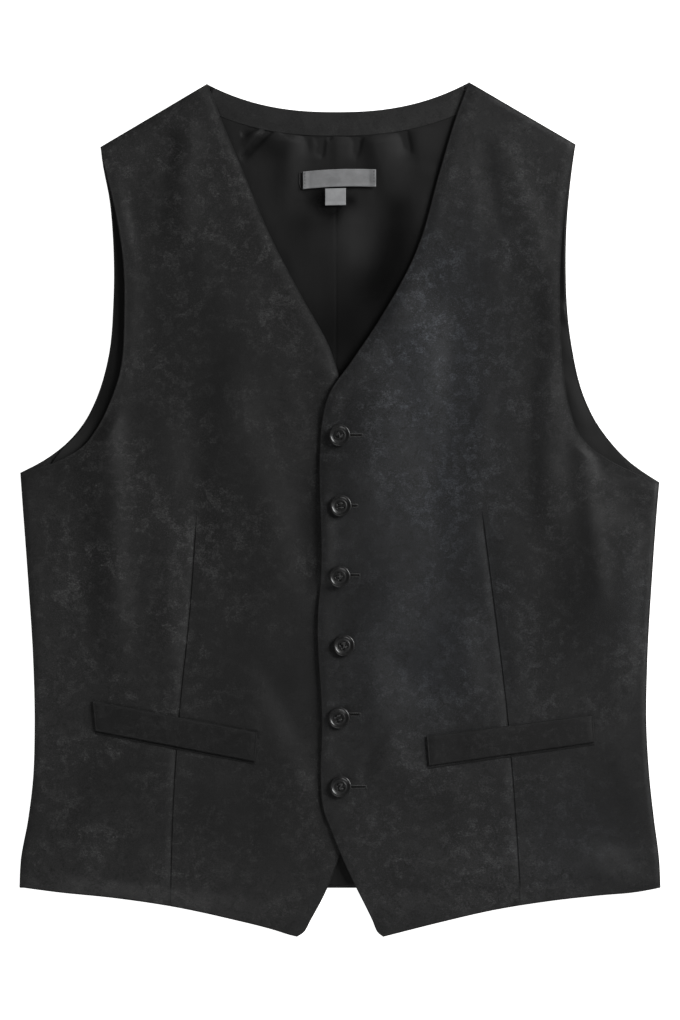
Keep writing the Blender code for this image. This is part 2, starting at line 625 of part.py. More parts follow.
def make_buttons(material, collection, cutters):
    """Six buttons down the closing line, each turned and tilted a little by its thread."""
    mesh = turned_button(cutters)
    mesh.materials.clear()
    mesh.materials.append(material)
    mesh.shade_smooth()
    mesh.set_sharp_from_angle(angle=math.radians(35))
    for number, place in enumerate(BUTTONS, start=1):
        button = add_object(f"button_{number}", mesh, None, collection)
        tilt = math.radians(place.tilt_deg)
        towards = math.radians(place.tilt_towards_deg)
        lean = Euler((-tilt * math.sin(towards), tilt * math.cos(towards), 0.0)).to_matrix()
        spin = Euler((0.0, 0.0, math.radians(place.spin_deg))).to_matrix()
        button.rotation_euler = (lean @ spin).to_euler()
        around = np.radians(np.arange(0, 360, 30))
        rim_across = place.across + BUTTON_RADIUS * np.cos(around)
        rim_up = place.up + BUTTON_RADIUS * np.sin(around)
        ground = float(front_top(LEFT, rim_across, rim_up).max())
        clear = SEAM_GAP + (BUTTON_RADIUS - 1.5) * math.sin(tilt)
        button.location = Vector((place.across, place.up, ground + clear)) * MM


def main():
    clear_scene()
    garment = bpy.data.collections.new("waistcoat")
    cutters = bpy.data.collections.new("cutters")
    for collection in (garment, cutters):
        bpy.context.scene.collection.children.link(collection)
    materials = {name: make_material(name) for name in COLOURS}
    for side in SIDES:
        make_back(side, materials["suiting"], garment)
        make_front(side, materials["suiting"], garment)
        make_welt(side, materials["suiting"], garment)
    make_facing(materials["suiting"], garment)
    make_lining(materials["lining"], garment)
    make_label(materials["label"], garment)
    make_tab(materials["label"], garment)
    make_buttons(materials["button"], garment, cutters)


main()
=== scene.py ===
"""Looks for a waistcoat laid flat on its back: pressed cloth shells, sewing, buttons, cloth finishes and studio.

Pattern edges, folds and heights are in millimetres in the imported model's frame, with the shoulders towards
+Y and the fronts up. The wearer's right front is at -X, and the left one laps over it. Meshes are in metres.
"""

import logging
import math
from dataclasses import dataclass, field
from enum import Enum
from typing import NamedTuple

import bpy
import numpy as np
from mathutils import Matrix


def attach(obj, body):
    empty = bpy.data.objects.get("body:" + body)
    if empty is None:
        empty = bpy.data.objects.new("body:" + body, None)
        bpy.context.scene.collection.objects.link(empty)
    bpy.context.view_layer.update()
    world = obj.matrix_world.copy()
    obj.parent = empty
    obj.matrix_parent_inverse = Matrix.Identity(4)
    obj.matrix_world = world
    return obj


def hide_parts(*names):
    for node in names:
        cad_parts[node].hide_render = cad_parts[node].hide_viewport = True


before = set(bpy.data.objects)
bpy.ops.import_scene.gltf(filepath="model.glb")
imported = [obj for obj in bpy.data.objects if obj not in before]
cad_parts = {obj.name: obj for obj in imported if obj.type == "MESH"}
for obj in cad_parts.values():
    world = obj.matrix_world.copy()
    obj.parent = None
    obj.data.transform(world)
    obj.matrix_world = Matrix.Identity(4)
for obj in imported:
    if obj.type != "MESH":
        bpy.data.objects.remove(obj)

LOG = logging.getLogger("waistcoat")
MM = 0.001
Array = np.ndarray


# ------------------------------------------------------------------ pattern tables, in millimetres
class Spot(NamedTuple):
    """A point of the pattern."""

    across: float
    up: float


class Fold(NamedTuple):
    """A soft ridge, or a trough where its height is negative, along a path that is read downwards."""

    height: float
    right: float
    left: float
    fade_in: float
    fade_out: float
    path: tuple[tuple[float, float], ...]


class Wave(NamedTuple):
    """One slow swell of pressed cloth that never lies quite flat."""

    length: float
    heading_deg: float
    phase: float
    height: float


class Bell(NamedTuple):
    """A soft round area of a mask."""

    across: float
    up: float
    reach: float
    strength: float


class Side(Enum):
    """A side of the wearer, and the way it points along X."""

    RIGHT = -1
    LEFT = 1

    @property
    def word(self) -> str:
        """The side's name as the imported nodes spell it."""
        return self.name.lower()


NECK_POINT = {Side.RIGHT: Spot(-99.4, 319.3), Side.LEFT: Spot(96.4, 320.6)}
SHOULDER_TIP = {Side.RIGHT: Spot(-179.6, 271.9), Side.LEFT: Spot(176.6, 273.9)}
UNDERARM = {Side.RIGHT: Spot(-239.6, 28.1), Side.LEFT: Spot(239.3, 21.0)}
HEM_CORNER = {Side.RIGHT: Spot(-240.2, -282.6), Side.LEFT: Spot(240.2, -283.0)}
FRONT_POINT = {Side.RIGHT: Spot(-32.3, -320.1), Side.LEFT: Spot(32.3, -320.1)}
SIDE_SEAM = {
    Side.RIGHT: ((-239.2, -262.5), (-233.8, -232.5), (-230.1, -202.5), (-228.8, -165.0),
                 (-229.9, -112.5), (-233.7, -52.5), (-238.1, 7.5)),
    Side.LEFT: ((239.2, -262.5), (235.4, -232.5), (232.1, -202.5), (229.7, -165.0),
                (230.3, -112.5), (233.7, -52.5), (238.1, 7.5)),
}
BACK_ARMHOLE = {
    Side.RIGHT: ((-221.8, 37.5), (-202.6, 52.5), (-190.7, 67.5), (-183.2, 82.5), (-174.2, 112.5),
                 (-170.0, 157.5), (-170.3, 202.5), (-172.9, 232.5), (-178.3, 261.0)),
    Side.LEFT: ((227.6, 28.5), (215.7, 37.5), (201.7, 52.5), (191.2, 67.5), (184.0, 82.5),
                (173.1, 127.5), (169.4, 187.5), (170.3, 217.5), (173.6, 252.0)),
}
FRONT_ARMHOLE = {
    Side.RIGHT: ((-210.5, 37.1), (-192.0, 48.2), (-180.9, 63.0), (-171.8, 81.8), (-166.1, 98.0),
                 (-161.5, 150.0), (-162.4, 186.0), (-168.0, 222.0), (-176.8, 258.8)),
    Side.LEFT: ((218.6, 28.8), (200.0, 38.5), (187.1, 47.5), (177.8, 59.3), (172.0, 76.0),
                (166.4, 113.0), (164.9, 144.8), (166.7, 211.0), (171.4, 247.0)),
}
FRONT_HEM = {
    Side.RIGHT: ((-212.7, -286.3), (-168.6, -290.9), (-123.2, -297.8), (-82.5, -306.7),
                 (-47.6, -315.6), (-38.5, -318.5)),
    Side.LEFT: ((221.5, -286.4), (195.3, -288.8), (156.9, -293.2), (115.2, -300.0),
                (76.7, -308.9), (41.0, -317.9)),
}
FRONT_EDGE = {
    Side.RIGHT: ((-27.2, -316.8), (-22.4, -308.3), (-10.6, -285.8), (-2.0, -264.0), (6.3, -240.8),
                 (13.1, -222.0), (15.0, -202.5), (15.0, -67.5), (15.0, 52.5), (10.5, 75.0),
                 (0.8, 97.0), (-7.2, 120.0), (-31.2, 164.3), (-52.8, 206.3), (-76.5, 262.5),
                 (-88.5, 291.0)),
    Side.LEFT: ((28.3, -316.8), (24.5, -308.3), (11.0, -280.5), (2.3, -261.8), (-6.3, -240.8),
                (-13.1, -222.0), (-14.6, -202.5), (-13.6, -162.8), (-16.8, -80.0), (-14.4, -46.0),
                (-15.3, 41.3), (-14.1, 62.3), (-8.5, 86.3), (7.9, 110.3), (28.5, 141.0),
                (57.5, 195.0), (75.0, 255.0), (85.5, 290.3)),
}
DART = {
    Side.RIGHT: ((-107.0, 3.0), (-112.7, -79.5), (-120.0, -150.0), (-125.0, -227.0), (-126.8, -296.5)),
    Side.LEFT: ((105.8, 4.0), (113.2, -52.7), (125.9, -158.0), (131.1, -221.0), (135.7, -296.0)),
}
# Welt corners: top outer, top inner, bottom inner, bottom outer.
WELT = {
    Side.RIGHT: ((-185.6, -142.9), (-61.9, -166.5), (-63.4, -188.3), (-183.4, -165.3)),
    Side.LEFT: ((189.6, -153.0), (64.5, -169.5), (66.2, -191.5), (190.7, -173.8)),
}
BACK_HEM_UP = -283.5
CENTRE_BACK = -3.0
NECK_DIP_UP = 298.6
NECK_CURVE_POWER = 2.4
FACING_DEPTH = 18.3
FACING_SHORT = 3.5

# Heights of the layers as they lie on each other.
BACK_CLOTH = 1.2
LINING_UNDER = 1.5
LINING_TOP = 2.5
FRONT_CLOTH = 2.0
FRONT_REST = 3.15
LEAST_REST = 2.8
CHEST_SWELL = 0.8
ARMHOLE_LIFT = {Side.RIGHT: 1.9, Side.LEFT: 1.1}
ARMHOLE_REACH = {Side.RIGHT: 23.0, Side.LEFT: 40.0}
TIP_REST = 0.4
SEAM_ROLL = 4.0
OVERLAP_FADE = 46.0
LAP_GAP = 0.15
# How far each closing edge and neckline curls up: up and lift.
EDGE_CURL = {
    Side.RIGHT: ((-320.0, 0.0), (60.0, 0.0), (110.0, 0.5), (230.0, 0.6), (300.0, 0.2)),
    Side.LEFT: ((-320.0, 0.0), (-262.0, 0.2), (-205.0, 0.3), (-172.0, 0.9), (-150.0, 0.9), (-122.0, 0.3),
                (-92.0, 0.8), (-76.0, 0.7), (-62.0, 0.0), (-42.0, 1.3), (-10.0, 1.5), (18.0, 0.3), (52.0, 0.1),
                (72.0, 0.9), (92.0, 0.8), (130.0, 0.7), (200.0, 0.8), (255.0, 0.7), (300.0, 0.2)),
}

# Each row: height, half widths on the path's right and left, fades at its two ends, then its path.
FRONT_FOLDS = {
    Side.RIGHT: (
        Fold(2.7, 9, 14, 25, 90, ((-178, 84), (-173, 30), (-172, -20), (-170, -80), (-168, -140))),
        Fold(-1.7, 8, 9, 15, 30, ((-128, 288), (-144, 232), (-146, 190))),
        Fold(1.1, 7, 9, 20, 30, ((-110, 300), (-118, 235), (-120, 190))),
        Fold(1.2, 13, 14, 50, 40, ((-90, 120), (-76, 60), (-60, 10), (-42, -50), (-34, -90))),
        Fold(-1.0, 8, 8, 25, 35, ((-108, 90), (-107, 30), (-104, -46))),
        Fold(0.6, 5, 8, 20, 20, ((-130, 0), (-129, -70), (-130, -125))),
        Fold(-0.4, 7, 5, 8, 30, ((-107, 3), (-113, -80), (-120, -150))),
        Fold(-1.8, 16, 14, 30, 50, ((-199, 30), (-197, -60), (-196, -130), (-198, -245))),
        Fold(0.9, 9, 13, 30, 50, ((-78, -124), (-50, -170), (-24, -222), (-10, -256))),
        Fold(-0.9, 8, 7, 20, 20, ((-62, -104), (-44, -140), (-26, -178))),
        Fold(2.4, 20, 12, 45, 55, ((-236, -271), (-120, -279), (-36, -296))),
        Fold(1.0, 12, 25, 30, 50, ((-210, -196), (-130, -204), (-56, -216))),
        Fold(1.8, 40, 9, 24, 14, ((-10, 46), (-8, 0), (-8, -60))),
        Fold(0.5, 8, 8, 15, 30, ((-10, -72), (-9, -210))),
        Fold(0.8, 8, 8, 10, 10, ((-6, 112), (-9, 90), (-10, 70))),
    ),
    Side.LEFT: (
        Fold(3.3, 22, 25, 55, 60, ((44, 190), (39, 110), (28, 50), (28, -10))),
        Fold(1.5, 20, 26, 60, 50, ((28, 60), (28, 10), (36, -50), (40, -100), (46, -150))),
        Fold(-1.7, 13, 12, 40, 50, ((90, 180), (90, 120), (87, 50), (84, -20), (82, -100))),
        Fold(0.35, 5, 7, 30, 15, ((118, 200), (117, 110), (108, 60), (92, 0))),
        Fold(-2.5, 11, 16, 50, 25, ((130, 190), (130, 100), (131, 30), (132, -20))),
        Fold(0.8, 9, 10, 30, 30, ((154, 120), (156, 60), (157, 10), (160, -30))),
        Fold(-0.5, 4, 4, 6, 10, ((192, 52), (196, 35), (200, 20))),
        Fold(0.9, 6, 6, 12, 40, ((181, 54), (184, 20), (188, -10), (194, -50), (198, -90))),
        Fold(-0.5, 7, 7, 12, 12, ((204, 42), (218, 8), (225, -14))),
        Fold(1.4, 13, 28, 26, 60, ((214, 6), (210, -45), (208, -100), (208, -160))),
        Fold(-0.5, 14, 18, 40, 60, ((160, 10), (160, -60), (162, -140))),
        Fold(0.7, 7, 9, 20, 40, ((112, 292), (130, 250), (147, 205), (152, 165))),
        Fold(-0.5, 5, 6, 15, 20, ((108, 280), (112, 240), (118, 205))),
        Fold(1.7, 27, 15, 30, 34, ((-16, -92), (16, -132), (50, -186))),
        Fold(-1.1, 10, 12, 20, 22, ((28, -100), (54, -126), (78, -148))),
        Fold(1.6, 15, 9, 15, 30, ((20, -184), (60, -203), (108, -224))),
        Fold(2.5, 20, 12, 60, 45, ((14, -290), (110, -281), (236, -272))),
        Fold(-1.7, 8, 20, 20, 15, ((184, -176), (200, -215), (214, -262))),
        Fold(0.8, 7, 10, 20, 20, ((92, -70), (96, -110), (100, -150))),
        Fold(-0.7, 5, 12, 8, 30, ((105.8, 4), (113, -53), (126, -158))),
    ),
}
WAVES = (
    Wave(83.0, 84.0, 0.3, 0.12), Wave(47.0, 101.0, 1.7, 0.09), Wave(121.0, 18.0, 2.2, 0.20),
    Wave(34.0, 74.0, 4.0, 0.05), Wave(61.0, 140.0, 0.9, 0.10), Wave(27.0, 118.0, 5.1, 0.03),
)
# Where the flecks of the weave crowd together, over a low share everywhere.
MASK_CEILING = 1.3
# Painted shade along a turned edge, as a dark line: how wide it is, and how wide it fades.
PAINTED_EDGE_SHADE = (0.2, 0.9)
BLOOMS = (
    Bell(0.0, 0.0, 900.0, 0.58), Bell(-68.0, 120.0, 55.0, 0.5), Bell(-143.0, -10.0, 42.0, 0.8),
    Bell(-190.0, -30.0, 38.0, 0.5), Bell(-56.0, -45.0, 40.0, 0.6), Bell(-180.0, -195.0, 40.0, 0.4),
    Bell(-60.0, -235.0, 40.0, 0.4), Bell(-140.0, 230.0, 50.0, 0.4), Bell(-70.0, 205.0, 45.0, 0.5),
    Bell(100.0, 185.0, 60.0, 0.8), Bell(75.0, 62.0, 36.0, 1.0), Bell(66.0, 0.0, 34.0, 0.5),
    Bell(196.0, -25.0, 42.0, 0.7), Bell(150.0, 130.0, 42.0, 0.7), Bell(120.0, -80.0, 46.0, 0.5),
    Bell(60.0, -205.0, 45.0, 0.3), Bell(112.0, -232.0, 45.0, 0.5), Bell(200.0, -112.0, 38.0, 0.5),
    Bell(-120.0, -120.0, 40.0, 0.5), Bell(30.0, -20.0, 34.0, -0.35), Bell(-52.0, -120.0, 36.0, -0.4),
)
# Painted light and shade in the suiting's colour: above 0 the colour is lighter, as painted light; below 0 it is
# darker, as painted shade.
SUITING_PAINTED_LIGHT_AND_SHADE = (
    Bell(-215.0, -266.0, 22.0, 0.8), Bell(-175.0, -268.0, 22.0, 0.7), Bell(-132.0, -274.0, 22.0, 0.6),
    Bell(-90.0, -276.0, 20.0, 0.4), Bell(-45.0, -286.0, 20.0, 0.3), Bell(50.0, -272.0, 20.0, 0.5),
    Bell(88.0, -264.0, 20.0, 0.8), Bell(130.0, -264.0, 20.0, 0.6), Bell(172.0, -266.0, 20.0, 0.3),
    Bell(215.0, -268.0, 20.0, 0.25), Bell(-160.0, 270.0, 20.0, 0.6), Bell(-152.0, 110.0, 14.0, 0.3),
    Bell(62.0, 118.0, 22.0, 0.3), Bell(56.0, 66.0, 20.0, 0.2), Bell(226.0, -50.0, 14.0, 0.3),
    Bell(222.0, -150.0, 24.0, 0.3), Bell(70.0, -120.0, 34.0, 0.35), Bell(96.0, 285.0, 18.0, 0.4),
    Bell(-86.0, 108.0, 34.0, -0.8), Bell(-62.0, -105.0, 34.0, -0.6), Bell(-78.0, -232.0, 38.0, -0.8),
    Bell(-60.0, 0.0, 28.0, -0.5), Bell(-112.0, 175.0, 30.0, -0.4), Bell(180.0, -55.0, 38.0, -1.1),
    Bell(188.0, -225.0, 34.0, -0.7), Bell(142.0, 146.0, 28.0, -0.7), Bell(216.0, -70.0, 20.0, -0.4),
    Bell(48.0, -30.0, 26.0, -0.5), Bell(-214.0, -50.0, 20.0, 0.7), Bell(-214.0, -110.0, 22.0, 0.6),
    Bell(-212.0, -170.0, 24.0, 0.5), Bell(82.0, -235.0, 34.0, -0.3), Bell(52.0, 40.0, 20.0, -0.2),
)
# Painted shade and gloss in the satin: above 0 its colour is darker, as painted shade (the bottom of the neckline, a
# painted shadow round the label's tab, dark lines along creases, the armhole strips), and it is glossier; below 0 its
# colour is lighter, as painted light, and it is rougher.
SATIN_PAINTED_SHADE_AND_GLOSS = (
    Bell(2.0, 134.0, 26.0, 0.95), Bell(44.0, 228.0, 8.0, 0.6), Bell(42.0, 210.0, 12.0, 0.7), Bell(42.0, 190.0, 14.0, 0.8), Bell(32.0, 168.0, 14.0, 0.9),
    Bell(-14.0, 233.0, 8.0, 1.2), Bell(-3.0, 224.5, 7.0, 1.1), Bell(8.0, 232.0, 4.0, 0.8), Bell(-24.0, 215.0, 9.0, 0.4),
    Bell(-59.0, 278.0, 3.0, 0.7), Bell(-64.0, 273.0, 3.0, 0.7), Bell(-69.0, 268.0, 3.0, 0.7), Bell(-70.0, 283.0, 3.0, 0.5),
    Bell(-49.0, 270.0, 6.0, 0.6), Bell(68.0, 250.0, 14.0, 0.35), Bell(11.0, 200.0, 12.0, -0.5),
    Bell(168.0, 168.0, 16.0, 0.9), Bell(174.0, 205.0, 18.0, 0.9), Bell(172.0, 120.0, 14.0, -1.0), Bell(188.0, 85.0, 18.0, -1.3),
    Bell(210.0, 58.0, 18.0, -1.2), Bell(-168.0, 182.0, 18.0, 0.4), Bell(-167.0, 145.0, 18.0, 0.4),
    Bell(-170.0, 105.0, 18.0, 0.4), Bell(-180.0, 76.0, 14.0, 0.4), Bell(-206.0, 48.0, 14.0, -1.0),
)
# Where the photo's cloth leans to blue.
COOL_CASTS = (
    Bell(78.0, 190.0, 34.0, 0.5), Bell(70.0, 130.0, 36.0, 0.8), Bell(68.0, 60.0, 36.0, 0.9), Bell(62.0, -20.0, 36.0, 0.9),
    Bell(64.0, -110.0, 40.0, 0.9), Bell(176.0, -240.0, 26.0, 0.6), Bell(215.0, -70.0, 22.0, 0.4),
)
LINING_FOLDS = (
    Fold(1.2, 3.0, 3.0, 2, 16, ((-57, 288), (-74, 271))), Fold(0.9, 5.0, 5.0, 2, 24, ((-45, 284), (-62, 256))),
    Fold(1.2, 7.0, 6.0, 2, 50, ((-37, 281.5), (-42, 214))), Fold(0.5, 5.0, 3.0, 2, 16, ((-17, 280.5), (-17, 258))),
    Fold(0.6, 5.0, 4.0, 2, 18, ((-1, 280.5), (-2, 254))), Fold(0.5, 3.4, 3.4, 2, 14, ((8.5, 280.5), (6, 260))),
    Fold(1.7, 12.0, 6.0, 2, 46, ((24, 282.0), (30, 262), (42, 222))), Fold(0.7, 10.0, 4.0, 2, 30, ((57, 286), (63, 248))),
    Fold(0.4, 9.0, 9.0, 12, 26, ((-30, 232), (-20, 178))), Fold(1.4, 11.0, 26.0, 18, 40, ((-1, 232), (0, 200), (3, 162))),
    Fold(0.5, 14.0, 14.0, 12, 30, ((70, 262), (56, 200))), Fold(0.7, 2.5, 3.5, 4, 6, ((163, 156), (172, 138))),
    Fold(0.8, 3.0, 4.0, 5, 10, ((165, 134), (175, 106))), Fold(0.9, 3.5, 5.0, 8, 14, ((171, 100), (177, 80), (188, 58))),
)
LINING_CREASES = (
    Fold(-1.3, 1.3, 2.2, 1, 6, ((-51.5, 285.5), (-75, 262))), Fold(-0.8, 1.2, 2.0, 1, 5, ((-62, 287.5), (-75, 280))),
    Fold(-1.2, 1.2, 5.0, 1, 8, ((-12.4, 280), (-14.0, 262))), Fold(-1.0, 1.5, 6.5, 1, 12, ((15.4, 280.5), (11, 260))),
    Fold(-1.0, 1.3, 6.0, 1, 10, ((49.0, 285.5), (54, 264))), Fold(-0.5, 0.9, 2.0, 1, 3, ((-6, 281), (-9.5, 276))),
    Fold(-0.5, 1.8, 4.0, 1, 14, ((-25, 282), (-24, 262))),
)


# ------------------------------------------------------------------ curves and heights
def ease(share: Array) -> Array:
    """0 below 0, 1 above 1, and 3s^2 - 2s^3 between.

    Args:
        share: how far along the change each place is.
    Returns:
        The smoothed share.
    """
    share = np.clip(share, 0.0, 1.0)
    return share * share * (3.0 - 2.0 * share)


class PatternEdge:
    """A smooth pattern edge through a few spots, read by its share of the length or by height."""

    def __init__(self, *spots: tuple[float, float], per_spot: int = 24) -> None:
        """A cubic through the spots: on each span the ends' places and slopes are blended by Hermite weights.

        Args:
            spots: the points that the edge passes through.
            per_spot: how many samples each spot gets.
        """
        points = np.array(spots, float)
        chord = np.r_[0.0, np.cumsum(np.linalg.norm(np.diff(points, axis=0), axis=1))]
        slopes = np.gradient(points, chord, axis=0)
        place = np.linspace(0.0, chord[-1], per_spot * len(points))
        span = np.clip(np.searchsorted(chord, place, side="right") - 1, 0, len(points) - 2)
        length = (chord[span + 1] - chord[span])[:, None]
        t = (place - chord[span])[:, None] / length
        self.points = (
            points[span] * (2 * t**3 - 3 * t**2 + 1) + points[span + 1] * (3 * t**2 - 2 * t**3)
            + slopes[span] * length * (t**3 - 2 * t**2 + t) + slopes[span + 1] * length * (t**3 - t**2)
        )
        self.run = np.r_[0.0, np.cumsum(np.linalg.norm(np.diff(self.points, axis=0), axis=1))]

    @property
    def length(self) -> float:
        """The edge's length."""
        return float(self.run[-1])

    def at(self, share: Array) -> Array:
        """Points at these shares of the edge's length."""
        place = np.asarray(share) * self.run[-1]
        return np.stack([np.interp(place, self.run, self.points[:, k]) for k in (0, 1)], -1)

    def across_at(self, up: Array) -> Array:
        """The edge's across where it reaches these heights of the pattern."""
        order = np.argsort(self.points[:, 1])
        return np.interp(up, self.points[order, 1], self.points[order, 0])

    def up_at(self, across: Array) -> Array:
        """The edge's up where it reaches these places across."""
        order = np.argsort(self.points[:, 0])
        return np.interp(across, self.points[order, 0], self.points[order, 1])

    def inset(self, distance: float, steps: int) -> Array:
        """Points along the edge, each moved this far to the edge's right-hand side."""
        points = self.at(np.linspace(0.0, 1.0, steps))
        along = np.gradient(points, axis=0)
        along /= np.linalg.norm(along, axis=1)[:, None]
        return points + distance * np.stack([along[:, 1], -along[:, 0]], -1)

    def nearest(self, across: Array, up: Array, segments: int = 90) -> tuple[Array, Array, Array]:
        """The nearest place on the edge: each point is dropped on every segment and the closest is kept.

        Args:
            across, up: the points.
            segments: how many straight segments stand for the edge.
        Returns:
            For each point its distance, which side it is on (above 0 is left when read downwards) and how far
            along the edge its nearest place is, in millimetres.
        """
        knots = self.at(np.linspace(0.0, 1.0, segments + 1))
        best, side, place = (np.full(np.broadcast(across, up).shape, start) for start in (1e9, 0.0, 0.0))
        for number, (start, end) in enumerate(zip(knots[:-1], knots[1:])):
            run = end - start
            share = ((across - start[0]) * run[0] + (up - start[1]) * run[1]) / max(run @ run, 1e-9)
            share = np.clip(share, 0.0, 1.0)
            near = np.hypot(across - start[0] - share * run[0], up - start[1] - share * run[1])
            closer = near < best
            best = np.where(closer, near, best)
            side = np.where(closer, (across - start[0]) * run[1] - (up - start[1]) * run[0], side)
            place = np.where(closer, (number + share) * self.length / segments, place)
        return best, side, place

    def distance(self, across: Array, up: Array, segments: int = 90) -> Array:
        """Shortest distance of each point to the edge."""
        return self.nearest(across, up, segments)[0]


def neck_curve(across: Array) -> Array:
    """The back neck edge: the dip plus the rise to the neck point times the share across to a power."""
    on_right = across < CENTRE_BACK
    side_point = np.where(on_right, NECK_POINT[Side.RIGHT].across, NECK_POINT[Side.LEFT].across)
    rise = np.where(on_right, NECK_POINT[Side.RIGHT].up, NECK_POINT[Side.LEFT].up) - NECK_DIP_UP
    share = np.abs((across - CENTRE_BACK) / (side_point - CENTRE_BACK))
    return NECK_DIP_UP + rise * share**NECK_CURVE_POWER


def folds_at(folds: tuple[Fold, ...], across: Array, up: Array) -> Array:
    """Summed height of soft folds: a bell across each fold, eased in and out along its path.

    Args:
        folds: rows of ridges and troughs.
        across, up: the places asked for.
    Returns:
        Heights in millimetres.
    """
    across, up = np.broadcast_arrays(across, up)
    total = np.zeros(across.shape)
    for fold in folds:
        path = PatternEdge(*fold.path, per_spot=8)
        reach = 3.3 * max(fold.right, fold.left)
        low, high = path.points.min(axis=0) - reach, path.points.max(axis=0) + reach
        close = (across > low[0]) & (across < high[0]) & (up > low[1]) & (up < high[1])
        away, side, place = path.nearest(across[close], up[close], 3 * len(fold.path))
        width = np.where(side > 0.0, fold.left, fold.right)
        strength = ease(place / fold.fade_in) * ease((path.length - place) / fold.fade_out)
        total[close] += fold.height * strength * np.exp(-0.5 * (away / width) ** 2)
    return total


def waves_at(across: Array, up: Array) -> Array:
    """Slow swells: a sine of the distance along each wave's heading, summed."""
    total = np.zeros(np.broadcast(across, up).shape)
    for wave in WAVES:
        heading = math.radians(wave.heading_deg)
        along = across * math.sin(heading) + up * math.cos(heading)
        total += wave.height * np.sin(along * (2 * math.pi / wave.length) + wave.phase)
    return total


def bells_at(bells: tuple[Bell, ...], across: Array, up: Array) -> Array:
    """A soft mask: the bells summed, up to its ceiling."""
    total = np.zeros(np.shape(across))
    for bell in bells:
        away = np.hypot(across - bell.across, up - bell.up)
        total += bell.strength * np.exp(-0.5 * (away / bell.reach) ** 2)
    return np.minimum(total, MASK_CEILING)


class Pattern:
    """Every edge of the garment's pattern, by side."""

    def __init__(self) -> None:
        """Joins the tables' rows to the corners that they run between."""
        self.side = {s: PatternEdge(HEM_CORNER[s], *SIDE_SEAM[s], UNDERARM[s]) for s in Side}
        self.back_arm = {s: PatternEdge(UNDERARM[s], *BACK_ARMHOLE[s], SHOULDER_TIP[s]) for s in Side}
        self.front_arm = {s: PatternEdge(UNDERARM[s], *FRONT_ARMHOLE[s], SHOULDER_TIP[s]) for s in Side}
        self.hem = {s: PatternEdge(HEM_CORNER[s], *FRONT_HEM[s], FRONT_POINT[s]) for s in Side}
        self.closing = {s: PatternEdge(FRONT_POINT[s], *FRONT_EDGE[s], NECK_POINT[s]) for s in Side}
        self.shoulder = {s: PatternEdge(SHOULDER_TIP[s], NECK_POINT[s]) for s in Side}
        self.dart = {s: PatternEdge(*DART[s]) for s in Side}


PATTERN = Pattern()


